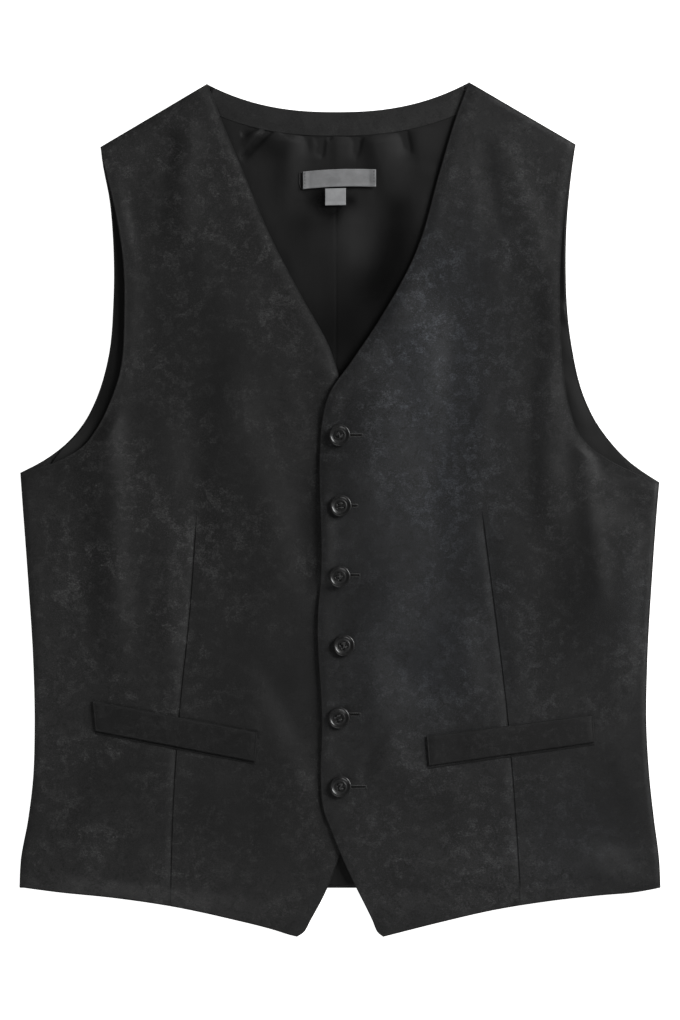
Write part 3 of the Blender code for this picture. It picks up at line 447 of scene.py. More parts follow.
class Lie:
    """How high each layer lies over the surface, in millimetres."""

    def pressed_under(self, side: Side, across: Array, up: Array) -> tuple[Array, Array]:
        """A front's inner surface as it would lie without folds, and the folds' own height.

        The rest height, plus a swell that is the product of eased distances from the four edges, plus a lift
        along the armhole. The folds' share falls to nothing at the edges.

        Args:
            side: which front.
            across, up: the places asked for.
        Returns:
            Heights in millimetres, and the folds' and waves' own height.
        """
        outward = side.value
        underarm, tip = UNDERARM[side], SHOULDER_TIP[side]
        side_across = np.where(up < underarm.up, PATTERN.side[side].across_at(up),
                               PATTERN.front_arm[side].across_at(up))
        from_side = (side_across - across) * outward
        from_closing = (across - PATTERN.closing[side].across_at(up)) * outward
        from_hem = up - PATTERN.hem[side].up_at(across)
        below_shoulder, _ = self.shoulder_distances(side, across, up)

        swell = (ease(from_side / 75.0) * ease(from_closing / 70.0)
                 * ease(from_hem / 90.0) * ease(below_shoulder / 75.0))
        height = FRONT_REST + CHEST_SWELL * swell
        loose = ease(from_side / 14.0) * ease(from_hem / 16.0) * ease(below_shoulder / 16.0)
        folds = folds_at(FRONT_FOLDS[side], across, up) * loose * ease((from_closing + 30.0) / 45.0)
        free = ease(np.minimum(from_side, from_hem) / 30.0) * ease(below_shoulder / 30.0)
        folds += waves_at(across, up) * free * ease(from_closing / 40.0)

        armhole_share = np.clip((up - underarm.up) / (tip.up - underarm.up), 0.0, 1.0)
        height += (ARMHOLE_LIFT[side] * (1 - from_side / ARMHOLE_REACH[side]).clip(0.0, 1.0) ** 2
                   * np.sqrt(np.sin(np.pi * armhole_share).clip(0.0)))
        return height, folds

    def sewn(self, side: Side, across: Array, up: Array) -> Array:
        """Share of each place that the seams hold down: one on the side and shoulder seams, gone past the roll."""
        underarm = UNDERARM[side]
        from_side = (PATTERN.side[side].across_at(np.minimum(up, underarm.up)) - across) * side.value
        below_shoulder, from_neck = self.shoulder_distances(side, across, up)
        at_side = (1 - ease(from_side / SEAM_ROLL)) * (1 - ease((up - underarm.up) / 5.0))
        at_shoulder = (1 - ease(below_shoulder / SEAM_ROLL)) * ease((from_neck - 8.0) / 22.0)
        return np.maximum(at_side, at_shoulder)

    @staticmethod
    def settled(height: Array, least: Array | float, up: Array) -> Array:
        """Keeps cloth off what it lies on by a soft maximum, then brings it down past the back.

        Args:
            height: where the cloth would be.
            least: the lowest it may be.
            up: the places' heights on the pattern.
        Returns:
            Heights in millimetres.
        """
        height = least + 0.3 * np.logaddexp(0.0, (height - least) / 0.3)
        past_back = ease((BACK_HEM_UP + 3.0 - up) / 31.0)
        return height + (TIP_REST - height) * past_back

    @staticmethod
    def shoulder_distances(side: Side, across: Array, up: Array) -> tuple[Array, Array]:
        """Distance below the shoulder seam, and distance along it from the neck point."""
        neck, tip = np.array(NECK_POINT[side]), np.array(SHOULDER_TIP[side])
        along = (tip - neck) / np.linalg.norm(tip - neck)
        place = np.stack([across - neck[0], up - neck[1]], -1)
        return place @ np.array([-along[1], along[0]]) * -side.value, place @ along

    @staticmethod
    def edge_curl(side: Side, across: Array, up: Array) -> Array:
        """How far a front's closing edge and neckline curl up: the edge's own lift, eased away from the edge."""
        at_up, lift = np.array(EDGE_CURL[side]).T
        from_closing = (across - PATTERN.closing[side].across_at(up)) * side.value
        reach = 14.0 + 20.0 * ease((up - 60.0) / 60.0)
        return np.interp(up, at_up, lift) * (1 - ease(from_closing / reach))

    def front_under(self, side: Side, across: Array, up: Array) -> Array:
        """A front's inner surface. The left front rides over the right one and comes down past its edge.

        Args:
            side: which front.
            across, up: the places asked for.
        Returns:
            Heights in millimetres.
        """
        height, folds = self.pressed_under(side, across, up)
        curl = self.edge_curl(side, across, up)
        if side is Side.RIGHT:
            return self.settled(height + folds + curl, LEAST_REST, up)
        under_top = self.front_under(Side.RIGHT, across, up) + FRONT_CLOTH + LAP_GAP
        past_under = across - PATTERN.closing[Side.RIGHT].across_at(up)
        lifted = ease((OVERLAP_FADE + 4.0 - past_under) / OVERLAP_FADE)
        height = height + (under_top - height) * lifted + curl
        over = ease((7.0 - past_under) / 6.0)
        least = LEAST_REST + (under_top - 0.15 - LEAST_REST) * over
        past_back = ease((BACK_HEM_UP + 3.0 - up) / 31.0)
        settled = self.settled(height + folds, least, up)
        return settled + (np.maximum(under_top, settled) - settled) * past_back * over

    def front_top(self, side: Side, across: Array, up: Array) -> Array:
        """A front's outer surface."""
        return self.front_under(side, across, up) + FRONT_CLOTH

    def lining_top(self, across: Array, up: Array) -> Array:
        """The lining's upper surface: gathers and creases where the neckline or the left armhole leaves it bare."""
        from_right = across - PATTERN.closing[Side.RIGHT].across_at(up)
        from_left = PATTERN.closing[Side.LEFT].across_at(up) - across
        past_armhole = across - PATTERN.front_arm[Side.LEFT].across_at(up)
        bare = np.maximum(ease((np.minimum(from_right, from_left) + 6.0) / 14.0), ease(past_armhole / 2.5))
        seam_up = neck_curve(across) - FACING_DEPTH
        clear = 0.35 + 0.65 * ease((seam_up - up) / 7.0)
        soft = folds_at(LINING_FOLDS, across, up) * clear
        sharp = folds_at(LINING_CREASES, across, up)
        return LINING_TOP + np.maximum(soft + sharp, -0.35) * bare


LIE = Lie()


# ------------------------------------------------------------------ meshes
class MeshParts:
    """Points and faces of several closed forms that become one mesh."""

    def __init__(self) -> None:
        """Starts with nothing in it."""
        self.points: list[Array] = []
        self.faces: list[Array] = []
        self.painted_edge_shades: list[Array] = []
        self.count = 0

    def add(self, points: Array, *faces: Array, rim: Array | float = 0.0) -> None:
        """Adds a form.

        Args:
            points: N by 3, in millimetres.
            faces: arrays of point numbers, one row a face.
            rim: how near each point is to a turned edge, 1 on it, which the materials darken as painted shade; a
                button's dark rings use it too.
        """
        self.points.append(points)
        self.painted_edge_shades.append(np.broadcast_to(rim, len(points)))
        self.faces.extend(block + self.count for block in faces)
        self.count += len(points)

    def build(self, name: str) -> bpy.types.Object:
        """Makes the mesh object, smooth shaded, in metres."""
        mesh = bpy.data.meshes.new(name)
        rows = [row for block in self.faces for row in block.tolist()]
        mesh.from_pydata((np.concatenate(self.points) * MM).tolist(), [], rows)
        mesh.shade_smooth()
        points = np.concatenate(self.points)
        # The "pressed" mask is painted light and shade in the suiting's colour.
        masks = {"bloom": BLOOMS, "smooth_lie": SATIN_PAINTED_SHADE_AND_GLOSS, "pressed": SUITING_PAINTED_LIGHT_AND_SHADE, "cool_cast": COOL_CASTS}
        values = {label: bells_at(bells, points[:, 0], points[:, 1]) for label, bells in masks.items()}
        for label, value in (values | {"rim": np.concatenate(self.painted_edge_shades)}).items():
            mask = mesh.attributes.new(label, "FLOAT", "POINT")
            mask.data.foreach_set("value", value.astype(np.float32))
        mesh.update()
        piece = bpy.data.objects.new(name, mesh)
        bpy.context.scene.collection.objects.link(piece)
        return piece


def rim_distance(across: Array, up: Array) -> Array:
    """How far each point of a grid is from the grid's nearest rim, measured along its rows and columns."""
    nearest = np.full(across.shape, np.inf)
    for axis in (0, 1):
        steps = np.hypot(np.diff(across, axis=axis), np.diff(up, axis=axis))
        run = np.concatenate([np.zeros_like(np.take(steps, [0], axis)), np.cumsum(steps, axis=axis)], axis=axis)
        nearest = np.minimum(nearest, np.minimum(run, np.take(run, [-1], axis) - run))
    return nearest


def shell_parts(parts: MeshParts, across: Array, up: Array, under: Array, top: Array) -> None:
    """A closed wall of cloth: two copies of a grid that share their rim, wound to face outwards.

    Args:
        parts: what the shell is added to.
        across, up, under, top: arrays of rows by columns, in millimetres. under and top meet at the rim.
    """
    rows, columns = across.shape
    upper = np.arange(rows * columns).reshape(rows, columns)
    lower = upper.copy()
    inner = np.arange((rows - 2) * (columns - 2)).reshape(rows - 2, columns - 2)
    # Painted shade mask: 1 at the shell's rim, fading inwards.
    near = 1.0 - ease((rim_distance(across, up) - PAINTED_EDGE_SHADE[0]) / PAINTED_EDGE_SHADE[1])
    lower[1:-1, 1:-1] = rows * columns + inner
    rim = (under + top) / 2
    high = top.copy()
    for edge in (np.s_[0, :], np.s_[-1, :], np.s_[:, 0], np.s_[:, -1]):
        high[edge] = rim[edge]
    points = np.concatenate([
        np.stack([across, up, high], -1).reshape(-1, 3),
        np.stack([across, up, under], -1)[1:-1, 1:-1].reshape(-1, 3),
    ])

    def quads(number: Array) -> Array:
        """Cells of the grid, going round from each cell's first corner."""
        corners = (number[:-1, :-1], number[:-1, 1:], number[1:, 1:], number[1:, :-1])
        return np.stack(corners, -1).reshape(-1, 4)

    mid_row, mid_column = rows // 2, columns // 2
    step_across = np.array([across[mid_row, mid_column + 1] - across[mid_row, mid_column],
                            up[mid_row, mid_column + 1] - up[mid_row, mid_column]])
    step_up = np.array([across[mid_row + 1, mid_column] - across[mid_row, mid_column],
                        up[mid_row + 1, mid_column] - up[mid_row, mid_column]])
    faces_up = step_across[0] * step_up[1] - step_across[1] * step_up[0] > 0
    over, below = quads(upper), quads(lower)
    parts.add(points, over if faces_up else over[:, ::-1], below[:, ::-1] if faces_up else below,
              rim=np.concatenate([near.ravel(), near[1:-1, 1:-1].ravel()]))


def tube_parts(parts: MeshParts, path: Array, radius: Array | float, sides: int = 6, closed: bool = False) -> None:
    """A tube: a circle of each point's radius, square to the path, carried along it and closed at its ends.

    Args:
        parts: what the tube is added to.
        path: N by 3, in millimetres.
        radius: one radius, or one for each point.
        sides: corners of the circle.
        closed: whether the path is a loop.
    """
    count = len(path)
    if closed:
        along = np.roll(path, -1, axis=0) - np.roll(path, 1, axis=0)
    else:
        along = np.gradient(path, axis=0)
    along /= np.linalg.norm(along, axis=1)[:, None]
    reference = np.where(np.abs(along[:, 2:3]) > 0.9, [[0.0, 1.0, 0.0]], [[0.0, 0.0, 1.0]])
    aside = np.cross(along, reference)
    aside /= np.linalg.norm(aside, axis=1)[:, None]
    above = np.cross(aside, along)
    turn = np.arange(sides) * (2 * math.pi / sides)
    ring = (np.cos(turn)[None, :, None] * aside[:, None] + np.sin(turn)[None, :, None] * above[:, None])
    points = path[:, None] + np.broadcast_to(np.asarray(radius, float), (count,))[:, None, None] * ring
    number = np.arange(count * sides).reshape(count, sides)
    start, end = (number, np.roll(number, -1, axis=0)) if closed else (number[:-1], number[1:])
    quads = np.stack([start, end, np.roll(end, -1, 1), np.roll(start, -1, 1)], -1).reshape(-1, 4)
    if closed:
        parts.add(points.reshape(-1, 3), quads)
        return
    poles = np.stack([path[0], path[-1]])
    first, last = number[0], number[-1]
    near = np.stack([np.full(sides, count * sides), first, np.roll(first, -1)], -1)
    far = np.stack([np.full(sides, count * sides + 1), np.roll(last, -1), last], -1)
    parts.add(np.concatenate([points.reshape(-1, 3), poles]), quads, near, far)


def edge_steps(*steps: float) -> Array:
    """Distances from an edge at which a shell has rows, closer together at the edge."""
    return np.array(steps)


FINE_STEPS = edge_steps(0.0, 0.08, 0.22, 0.42, 0.68, 1.0, 1.45, 2.1, 3.0, 4.2, 5.6, 7.4)
TRIM_STEPS = edge_steps(0.0, 0.06, 0.16, 0.3, 0.48, 0.7, 1.0, 1.4, 2.0)


def spread(length: float, pitch: float, steps: Array = FINE_STEPS) -> Array:
    """Shares of a length: the edge steps at both ends and an even pitch between.

    Args:
        length: what is divided, in millimetres.
        pitch: the even spacing between the ends.
        steps: distances of the first rows from each end.
    Returns:
        Rising shares from 0 to 1.
    """
    middle = max(2, round((length - 2 * steps[-1]) / pitch) + 1)
    inner = np.linspace(steps[-1], length - steps[-1], middle)[1:-1]
    return np.r_[steps, inner, length - steps[::-1]] / length


def rounded(distance: Array, radius: float) -> Array:
    """Share of the full thickness at a distance from a turned edge: a quarter circle of this radius."""
    short = 1.0 - np.clip(distance / radius, 0.0, 1.0)
    return np.sqrt(np.clip(1.0 - short * short, 0.0, 1.0))


def blend_edges(u: Array, v: Array, hem: Array, top: Array, start: Array, end: Array) -> Array:
    """Points inside four edges: both pairs of facing edges are blended and the blended corners taken off once.

    Args:
        u, v: shares across and up, as rows by columns.
        hem, top: points on the lower and upper edge at each u.
        start, end: points on the first and last edge at each v.
    Returns:
        Rows by columns by 2.
    """
    u, v = u[..., None], v[..., None]
    corners = ((1 - u) * (1 - v) * start[0, 0] + u * (1 - v) * end[0, 0]
               + (1 - u) * v * start[-1, 0] + u * v * end[-1, 0])
    return (1 - v) * hem + v * top + (1 - u) * start + u * end - corners


# ------------------------------------------------------------------ shader helpers
class Bench:
    """Adds and joins nodes in a material's or a group's tree."""

    def __init__(self, tree: bpy.types.NodeTree) -> None:
        """Works in this tree."""
        self.tree = tree

    def add(self, kind: str, settings: dict | None = None, **inputs: object) -> bpy.types.Node:
        """Adds a node.

        Args:
            kind: the node's type after "ShaderNode".
            settings: the node's own properties.
            inputs: sockets by name with _ for a space, or i and a number; a socket is joined, a value is set.
        Returns:
            The node.
        """
        node = self.tree.nodes.new("ShaderNode" + kind)
        for key, value in (settings or {}).items():
            setattr(node, key, value)
        for key, value in inputs.items():
            numbered = key[0] == "i" and key[1:].isdigit()
            socket = node.inputs[int(key[1:])] if numbered else node.inputs[key.replace("_", " ")]
            if isinstance(value, bpy.types.NodeSocket):
                self.tree.links.new(value, socket)
            else:
                socket.default_value = value
        return node

    def math(self, operation: str, *values: object) -> bpy.types.NodeSocket:
        """A Math node's result."""
        inputs = {f"i{k}": value for k, value in enumerate(values)}
        return self.add("Math", {"operation": operation}, **inputs).outputs[0]

    def vector(self, operation: str, *values: object) -> bpy.types.NodeSocket:
        """A Vector Math node's vector."""
        inputs = {f"i{k}": value for k, value in enumerate(values)}
        return self.add("VectorMath", {"operation": operation}, **inputs).outputs[0]

    def scaled(self, value: bpy.types.NodeSocket, factor: float) -> bpy.types.NodeSocket:
        """A vector times a number."""
        return self.add("VectorMath", {"operation": "SCALE"}, i0=value, Scale=factor).outputs[0]

    def between(self, value: bpy.types.NodeSocket, low: float, high: float,
                to_low: float = 0.0, to_high: float = 1.0) -> bpy.types.NodeSocket:
        """A smooth step of the value from low to high."""
        step = {"interpolation_type": "SMOOTHSTEP"}
        return self.add("MapRange", step, i0=value, i1=low, i2=high, i3=to_low, i4=to_high).outputs[0]

    def noise(self, vector: bpy.types.NodeSocket, scale: float, detail: float = 2.0,
              roughness: float = 0.5, distortion: float = 0.0) -> bpy.types.Node:
        """A Noise texture node."""
        return self.add("TexNoise", None, Vector=vector, Scale=scale, Detail=detail,
                        Roughness=roughness, Distortion=distortion)

    def mix(self, factor: object, first: object, second: object) -> bpy.types.NodeSocket:
        """A colour between two colours."""
        return self.add("Mix", {"data_type": "RGBA"}, i0=factor, i6=first, i7=second).outputs[2]


def new_group(name: str, inputs: dict[str, tuple[str, object]], outputs: dict[str, str]) -> tuple[
        bpy.types.NodeTree, bpy.types.Node, bpy.types.Node]:
    """An empty shader group with named sockets.

    Args:
        name: the group's name.
        inputs: socket name to its kind and default.
        outputs: socket name to its kind.
    Returns:
        The group's tree, its input node and its output node.
    """
    group = bpy.data.node_groups.new(name, "ShaderNodeTree")
    for label, (kind, default) in inputs.items():
        socket = group.interface.new_socket(name=label, in_out="INPUT", socket_type="NodeSocket" + kind)
        if default is not None:
            socket.default_value = default
    for label, kind in outputs.items():
        group.interface.new_socket(name=label, in_out="OUTPUT", socket_type="NodeSocket" + kind)
    return group, group.nodes.new("NodeGroupInput"), group.nodes.new("NodeGroupOutput")


class ClothGroups:
    """The shader groups that more than one cloth shares."""

    def __init__(self) -> None:
        """Builds each group once."""
        self.blossom = self.tonal_blossom()
        self.weave = self.twill_weave()

    @staticmethod
    def tonal_blossom() -> bpy.types.NodeTree:
        """Broken blossom-like flecks: rings and scribbles where a noise passes a level, gathered in clumps."""
        group, given, result = new_group("tonal_blossom", {"Vector": ("Vector", None)},
                                         {"Light": "Float", "Dark": "Float", "Cloud": "Float", "Grain": "Float"})
        bench = Bench(group)
        place = bench.scaled(given.outputs["Vector"], 1000.0)

        def field(shift: tuple[float, float, float], scale: float, detail: float = 2.0,
                  distortion: float = 0.0) -> bpy.types.NodeSocket:
            """A noise of its own, moved off the others."""
            return bench.noise(bench.vector("ADD", place, shift), scale, detail, 0.6, distortion).outputs["Fac"]

        def contour(value: bpy.types.NodeSocket, level: float, line: float) -> bpy.types.NodeSocket:
            """A thin line where the value passes the level, which closes into rings and scribbles."""
            off = bench.math("ABSOLUTE", bench.math("SUBTRACT", value, level))
            return bench.between(off, line, line * 0.3)

        rings = bench.math("MAXIMUM", contour(field((0.0, 0.0, 0.0), 0.42, 1.5, 0.6), 0.47, 0.070),
                           contour(field((91.0, 17.0, 0.0), 0.60, 1.0, 0.4), 0.55, 0.080))
        floats = bench.add("Mapping", None, Vector=place, Scale=(0.55, 1.5, 1.0)).outputs[0]
        dashes = bench.between(bench.noise(floats, 0.85, 2.0, 0.6).outputs["Fac"], 0.36, 0.52)
        speck = bench.between(field((43.0, 5.0, 0.0), 0.62, 3.0), 0.54, 0.60)
        clump = bench.between(field((310.0, 90.0, 0.0), 0.125, 2.5), 0.50, 0.58)
        crowd = bench.between(field((120.0, 60.0, 0.0), 0.026, 2.0), 0.36, 0.60, 0.35, 1.0)
        drawn = bench.math("MULTIPLY", bench.math("MAXIMUM", bench.math("MULTIPLY", rings, 0.6), speck), dashes)
        loose = bench.math("MULTIPLY", bench.between(field((12.0, 77.0, 0.0), 1.0, 3.0), 0.54, 0.64), 0.46)
        flecks = bench.math("MULTIPLY", bench.math("MAXIMUM", bench.math("MULTIPLY", drawn, clump), loose), crowd)
        blot = bench.between(field((57.0, 210.0, 0.0), 0.115, 3.0, 0.8), 0.49, 0.58)
        torn = bench.between(field((7.0, 33.0, 0.0), 0.60, 3.0), 0.42, 0.60, 0.2, 1.0)
        fine_blot = bench.between(field((200.0, 3.0, 0.0), 0.85, 3.0), 0.53, 0.61)
        dark = bench.math("MULTIPLY_ADD", fine_blot, 0.52, bench.math("MULTIPLY", bench.math("MULTIPLY", blot, torn), 0.95))
        cloud = bench.noise(bench.vector("ADD", place, (11.0, 470.0, 0.0)), 0.03, 3.0, 0.6)
        group.links.new(flecks, result.inputs["Light"])
        group.links.new(dark, result.inputs["Dark"])
        group.links.new(cloud.outputs["Fac"], result.inputs["Cloud"])
        group.links.new(field((31.0, 8.0, 0.0), 1.0, 3.0), result.inputs["Grain"])
        return group

    @staticmethod
    def twill_weave() -> bpy.types.NodeTree:
        """A weave's height: diagonal rounded ribs crossed by finer threads, both a sine of distance."""
        group, given, result = new_group(
            "twill_weave", {"Vector": ("Vector", None), "Pitch": ("Float", 0.6), "Lean": ("Float", 1.0)},
            {"Height": "Float", "Fuzz": "Float"})
        bench = Bench(group)
        place = bench.scaled(given.outputs["Vector"], 1000.0)
        split = bench.add("SeparateXYZ", None, i0=place)
        slant = bench.math("MULTIPLY_ADD", split.outputs[1], given.outputs["Lean"], split.outputs[0])
        turn = bench.math("DIVIDE", 6.2832, given.outputs["Pitch"])
        rib = bench.math("SINE", bench.math("MULTIPLY", slant, turn))
        thread = bench.math("SINE", bench.math("MULTIPLY", split.outputs[1], bench.math("MULTIPLY", turn, 1.7)))
        fuzz = bench.noise(place, 2.4, 3.0, 0.7).outputs["Fac"]
        height = bench.math("MULTIPLY_ADD", thread, 0.35, rib)
        height = bench.math("MULTIPLY_ADD", fuzz, 1.2, height)
        group.links.new(height, result.inputs["Height"])
        group.links.new(fuzz, result.inputs["Fuzz"])
        return group


GROUPS = ClothGroups()


def grey(level: float, cool: float = 0.0) -> tuple[float, float, float, float]:
    """A linear grey, cooled by taking a little red out and putting a little blue in."""
    return (level * (1.0 - 0.55 * cool), level, level * (1.0 + cool), 1.0)


def new_material(name: str) -> tuple[bpy.types.Material, Bench, bpy.types.Node]:
    """A node material, the bench for its tree and its Principled shader."""
    material = bpy.data.materials.new(name)
    material.use_nodes = True
    return material, Bench(material.node_tree), material.node_tree.nodes["Principled BSDF"]


def laid_vector(bench: Bench, shift: tuple[float, float], turn_deg: float) -> bpy.types.NodeSocket:
    """Object coordinates, turned and shifted so that a pattern lies along a piece's own grain."""
    place = bench.add("TexCoord").outputs["Object"]
    mapping = bench.add("Mapping", None, Vector=place, Location=(shift[0], shift[1], 0.0),
                        Rotation=(0.0, 0.0, math.radians(turn_deg)))
    return mapping.outputs[0]


@dataclass(frozen=True)
class Suiting:
    """Black tonal jacquard: a matt twill ground with slightly brighter and darker broken flecks."""

    name: str
    shift: tuple[float, float] = (0.0, 0.0)
    turn_deg: float = 0.0
    ground: float = 0.0135
    cool: float = 0.0
    fleck: float = 0.046
    shade: float = 0.0036
    red_loss: float = 0.09
    blue_gain: float = 0.16

    def material(self) -> bpy.types.Material:
        """The cloth's material."""
        material, bench, shader = new_material(self.name)
        vector = laid_vector(bench, self.shift, self.turn_deg)
        blossom = bench.add("Group", {"node_tree": GROUPS.blossom}, Vector=vector)
        weave = bench.add("Group", {"node_tree": GROUPS.weave}, Vector=vector, Pitch=0.62, Lean=0.8)
        crowded = bench.add("Attribute", {"attribute_name": "bloom"}).outputs["Fac"]
        flecks = bench.math("MULTIPLY", blossom.outputs["Light"], crowded)
        cloud = bench.between(blossom.outputs["Cloud"], 0.34, 0.66)
        ground = bench.mix(cloud, grey(self.ground * 0.86, self.cool), grey(self.ground * 1.14, self.cool))
        darker = bench.mix(blossom.outputs["Dark"], ground, grey(self.shade, self.cool))
        fibre = bench.between(blossom.outputs["Grain"], 0.32, 0.68, 0.82, 1.20)
        # The "pressed" attribute is painted light and shade: it makes the colour lighter above 0 and darker below 0.
        painted_light_and_shade = bench.add("Attribute", {"attribute_name": "pressed"}).outputs["Fac"]
        lit = bench.mix(flecks, darker, grey(self.fleck, self.cool))
        cast = bench.add("Attribute", {"attribute_name": "cool_cast"}).outputs["Fac"]
        # The "rim" attribute is painted shade: the colour darkens along every turned edge.
        rim = bench.add("Attribute", {"attribute_name": "rim"}).outputs["Fac"]
        fibre = bench.math("MULTIPLY", fibre, bench.math("MULTIPLY_ADD", rim, -0.85, 1.0))
        fibre = bench.math("MULTIPLY", fibre, bench.math("MAXIMUM", bench.math("MULTIPLY_ADD", painted_light_and_shade, 0.6, 1.0), 0.35))
        red = bench.math("MULTIPLY", fibre, bench.math("MULTIPLY_ADD", cast, -self.red_loss, 1.0))
        blue = bench.math("MULTIPLY", fibre, bench.math("MULTIPLY_ADD", cast, self.blue_gain, 1.0))
        tint = bench.add("Mix", {"data_type": "RGBA", "blend_type": "MULTIPLY"}, i0=1.0, i6=lit,
                         i7=bench.add("CombineColor", None, i0=red, i1=fibre, i2=blue).outputs[0])
        bench.tree.links.new(tint.outputs[2], shader.inputs["Base Color"])
        dull = bench.between(blossom.outputs["Dark"], 0.0, 1.0, 0.47, 0.57)
        gloss = bench.math("MULTIPLY_ADD", flecks, -0.08, dull)
        gloss = bench.math("MULTIPLY_ADD", rim, 0.35, gloss)
        bench.tree.links.new(gloss, shader.inputs["Roughness"])
        shader.inputs["Specular IOR Level"].default_value = 0.36
        shader.inputs["Sheen Weight"].default_value = 0.05
        shader.inputs["Sheen Roughness"].default_value = 0.45
        shader.inputs["Sheen Tint"].default_value = (0.75, 0.77, 0.8, 1.0)
        relief = bench.math("MULTIPLY_ADD", flecks, 1.6, weave.outputs["Height"])
        bump = bench.add("Bump", None, Strength=0.35, Distance=0.00006, Height=relief)
        bench.tree.links.new(bump.outputs[0], shader.inputs["Normal"])
        return material


@dataclass(frozen=True)
class LiningSatin:
    """Smooth black satin: fine lengthwise ribs, faint rumples and a soft gloss."""

    name: str
    ground: float = 0.0068

    def material(self) -> bpy.types.Material:
        """The lining's material: where the painted shade mask is above 0 its colour is darker, as painted shade, and
        its gloss answers folds more sharply.
        """
        material, bench, shader = new_material(self.name)
        vector = laid_vector(bench, (0.0, 0.0), 0.0)
        weave = bench.add("Group", {"node_tree": GROUPS.weave}, Vector=vector, Pitch=0.34, Lean=0.15)
        place = bench.scaled(vector, 1000.0)
        stretched = bench.add("Mapping", None, Vector=place, Scale=(1.0, 0.25, 1.0)).outputs[0]
        rumple = bench.noise(stretched, 0.09, 3.0, 0.55).outputs["Fac"]
        # This mask paints shade into the satin's colour above 0 and light below 0, and makes it glossier above 0.
        smooth = bench.add("Attribute", {"attribute_name": "smooth_lie"}).outputs["Fac"]
        # The colour follows the rumples' bump, lighter where they rise and darker in their hollows: painted shade.
        tone = bench.mix(bench.between(rumple, 0.32, 0.68), grey(self.ground * 0.85), grey(self.ground * 1.15))
        share = bench.math("MAXIMUM", bench.math("MULTIPLY_ADD", smooth, -0.8, 1.0), 0.15)
        tone = bench.add("Mix", {"data_type": "RGBA", "blend_type": "MULTIPLY"}, i0=1.0, i6=tone,
                         i7=bench.add("CombineColor", None, i0=share, i1=share, i2=share).outputs[0]).outputs[2]
        # The "rim" attribute is painted shade: the colour goes near black along the turned edges.
        rim = bench.add("Attribute", {"attribute_name": "rim"}).outputs["Fac"]
        tone = bench.mix(rim, tone, grey(self.ground * 0.1))
        bench.tree.links.new(tone, shader.inputs["Base Color"])
        gloss = bench.between(weave.outputs["Fuzz"], 0.3, 0.7, 0.47, 0.55)
        gloss = bench.math("MULTIPLY_ADD", rim, 0.35, gloss)
        gloss = bench.math("MULTIPLY_ADD", smooth, -0.19, gloss)
        bench.tree.links.new(gloss, shader.inputs["Roughness"])
        shader.inputs["Specular IOR Level"].default_value = 0.28
        height = bench.math("MULTIPLY_ADD", rumple, 10.0, weave.outputs["Height"])
        bump = bench.add("Bump", None, Strength=0.35, Distance=0.00004, Height=height)
        bench.tree.links.new(bump.outputs[0], shader.inputs["Normal"])
        return material


@dataclass(frozen=True)
class ButtonResin:
    """Black polished resin with faint clouding and fine turning marks worn into it."""

    name: str = "button_resin"
    ground: float = 0.0115

    def material(self) -> bpy.types.Material:
        """The button's material."""
        material, bench, shader = new_material(self.name)
        place = bench.scaled(bench.add("TexCoord").outputs["Object"], 1000.0)
        cloud = bench.noise(place, 0.35, 4.0, 0.6, 1.2).outputs["Fac"]
        tone = bench.mix(bench.between(cloud, 0.35, 0.7), grey(self.ground * 0.7), grey(self.ground * 1.7))
        # The "rim" attribute is painted shade: a dark ring at the disc's outer edge and another in its groove.
        rim = bench.add("Attribute", {"attribute_name": "rim"}).outputs["Fac"]
        bench.tree.links.new(bench.mix(rim, tone, grey(self.ground * 0.1)), shader.inputs["Base Color"])
        scuff = bench.noise(place, 2.2, 4.0, 0.7).outputs["Fac"]
        gloss = bench.math("MULTIPLY_ADD", rim, 0.5, bench.between(scuff, 0.35, 0.75, 0.27, 0.40))
        bench.tree.links.new(gloss, shader.inputs["Roughness"])
        shader.inputs["Specular IOR Level"].default_value = 0.5
        bump = bench.add("Bump", None, Strength=0.12, Distance=0.00004, Height=scuff)
        bench.tree.links.new(bump.outputs[0], shader.inputs["Normal"])
        return material


@dataclass(frozen=True)
class SewingThread:
    """Spun sewing thread: plies wound round it show as a fine slanted ripple."""

    name: str
    ground: float = 0.016
    roughness: float = 0.62

    def material(self) -> bpy.types.Material:
        """The thread's material."""
        material, bench, shader = new_material(self.name)
        vector = bench.add("TexCoord").outputs["Object"]
        weave = bench.add("Group", {"node_tree": GROUPS.weave}, Vector=vector, Pitch=0.30, Lean=1.0)
        # The colour is darker in the plies' grooves and lighter on their crests: painted shade.
        tone = bench.mix(bench.between(weave.outputs["Height"], -0.6, 1.8), grey(self.ground * 0.6),
                         grey(self.ground * 1.5))
        bench.tree.links.new(tone, shader.inputs["Base Color"])
        shader.inputs["Roughness"].default_value = self.roughness
        shader.inputs["Sheen Weight"].default_value = 0.15
        bump = bench.add("Bump", None, Strength=0.5, Distance=0.00005, Height=weave.outputs["Height"])
        bench.tree.links.new(bump.outputs[0], shader.inputs["Normal"])
        return material


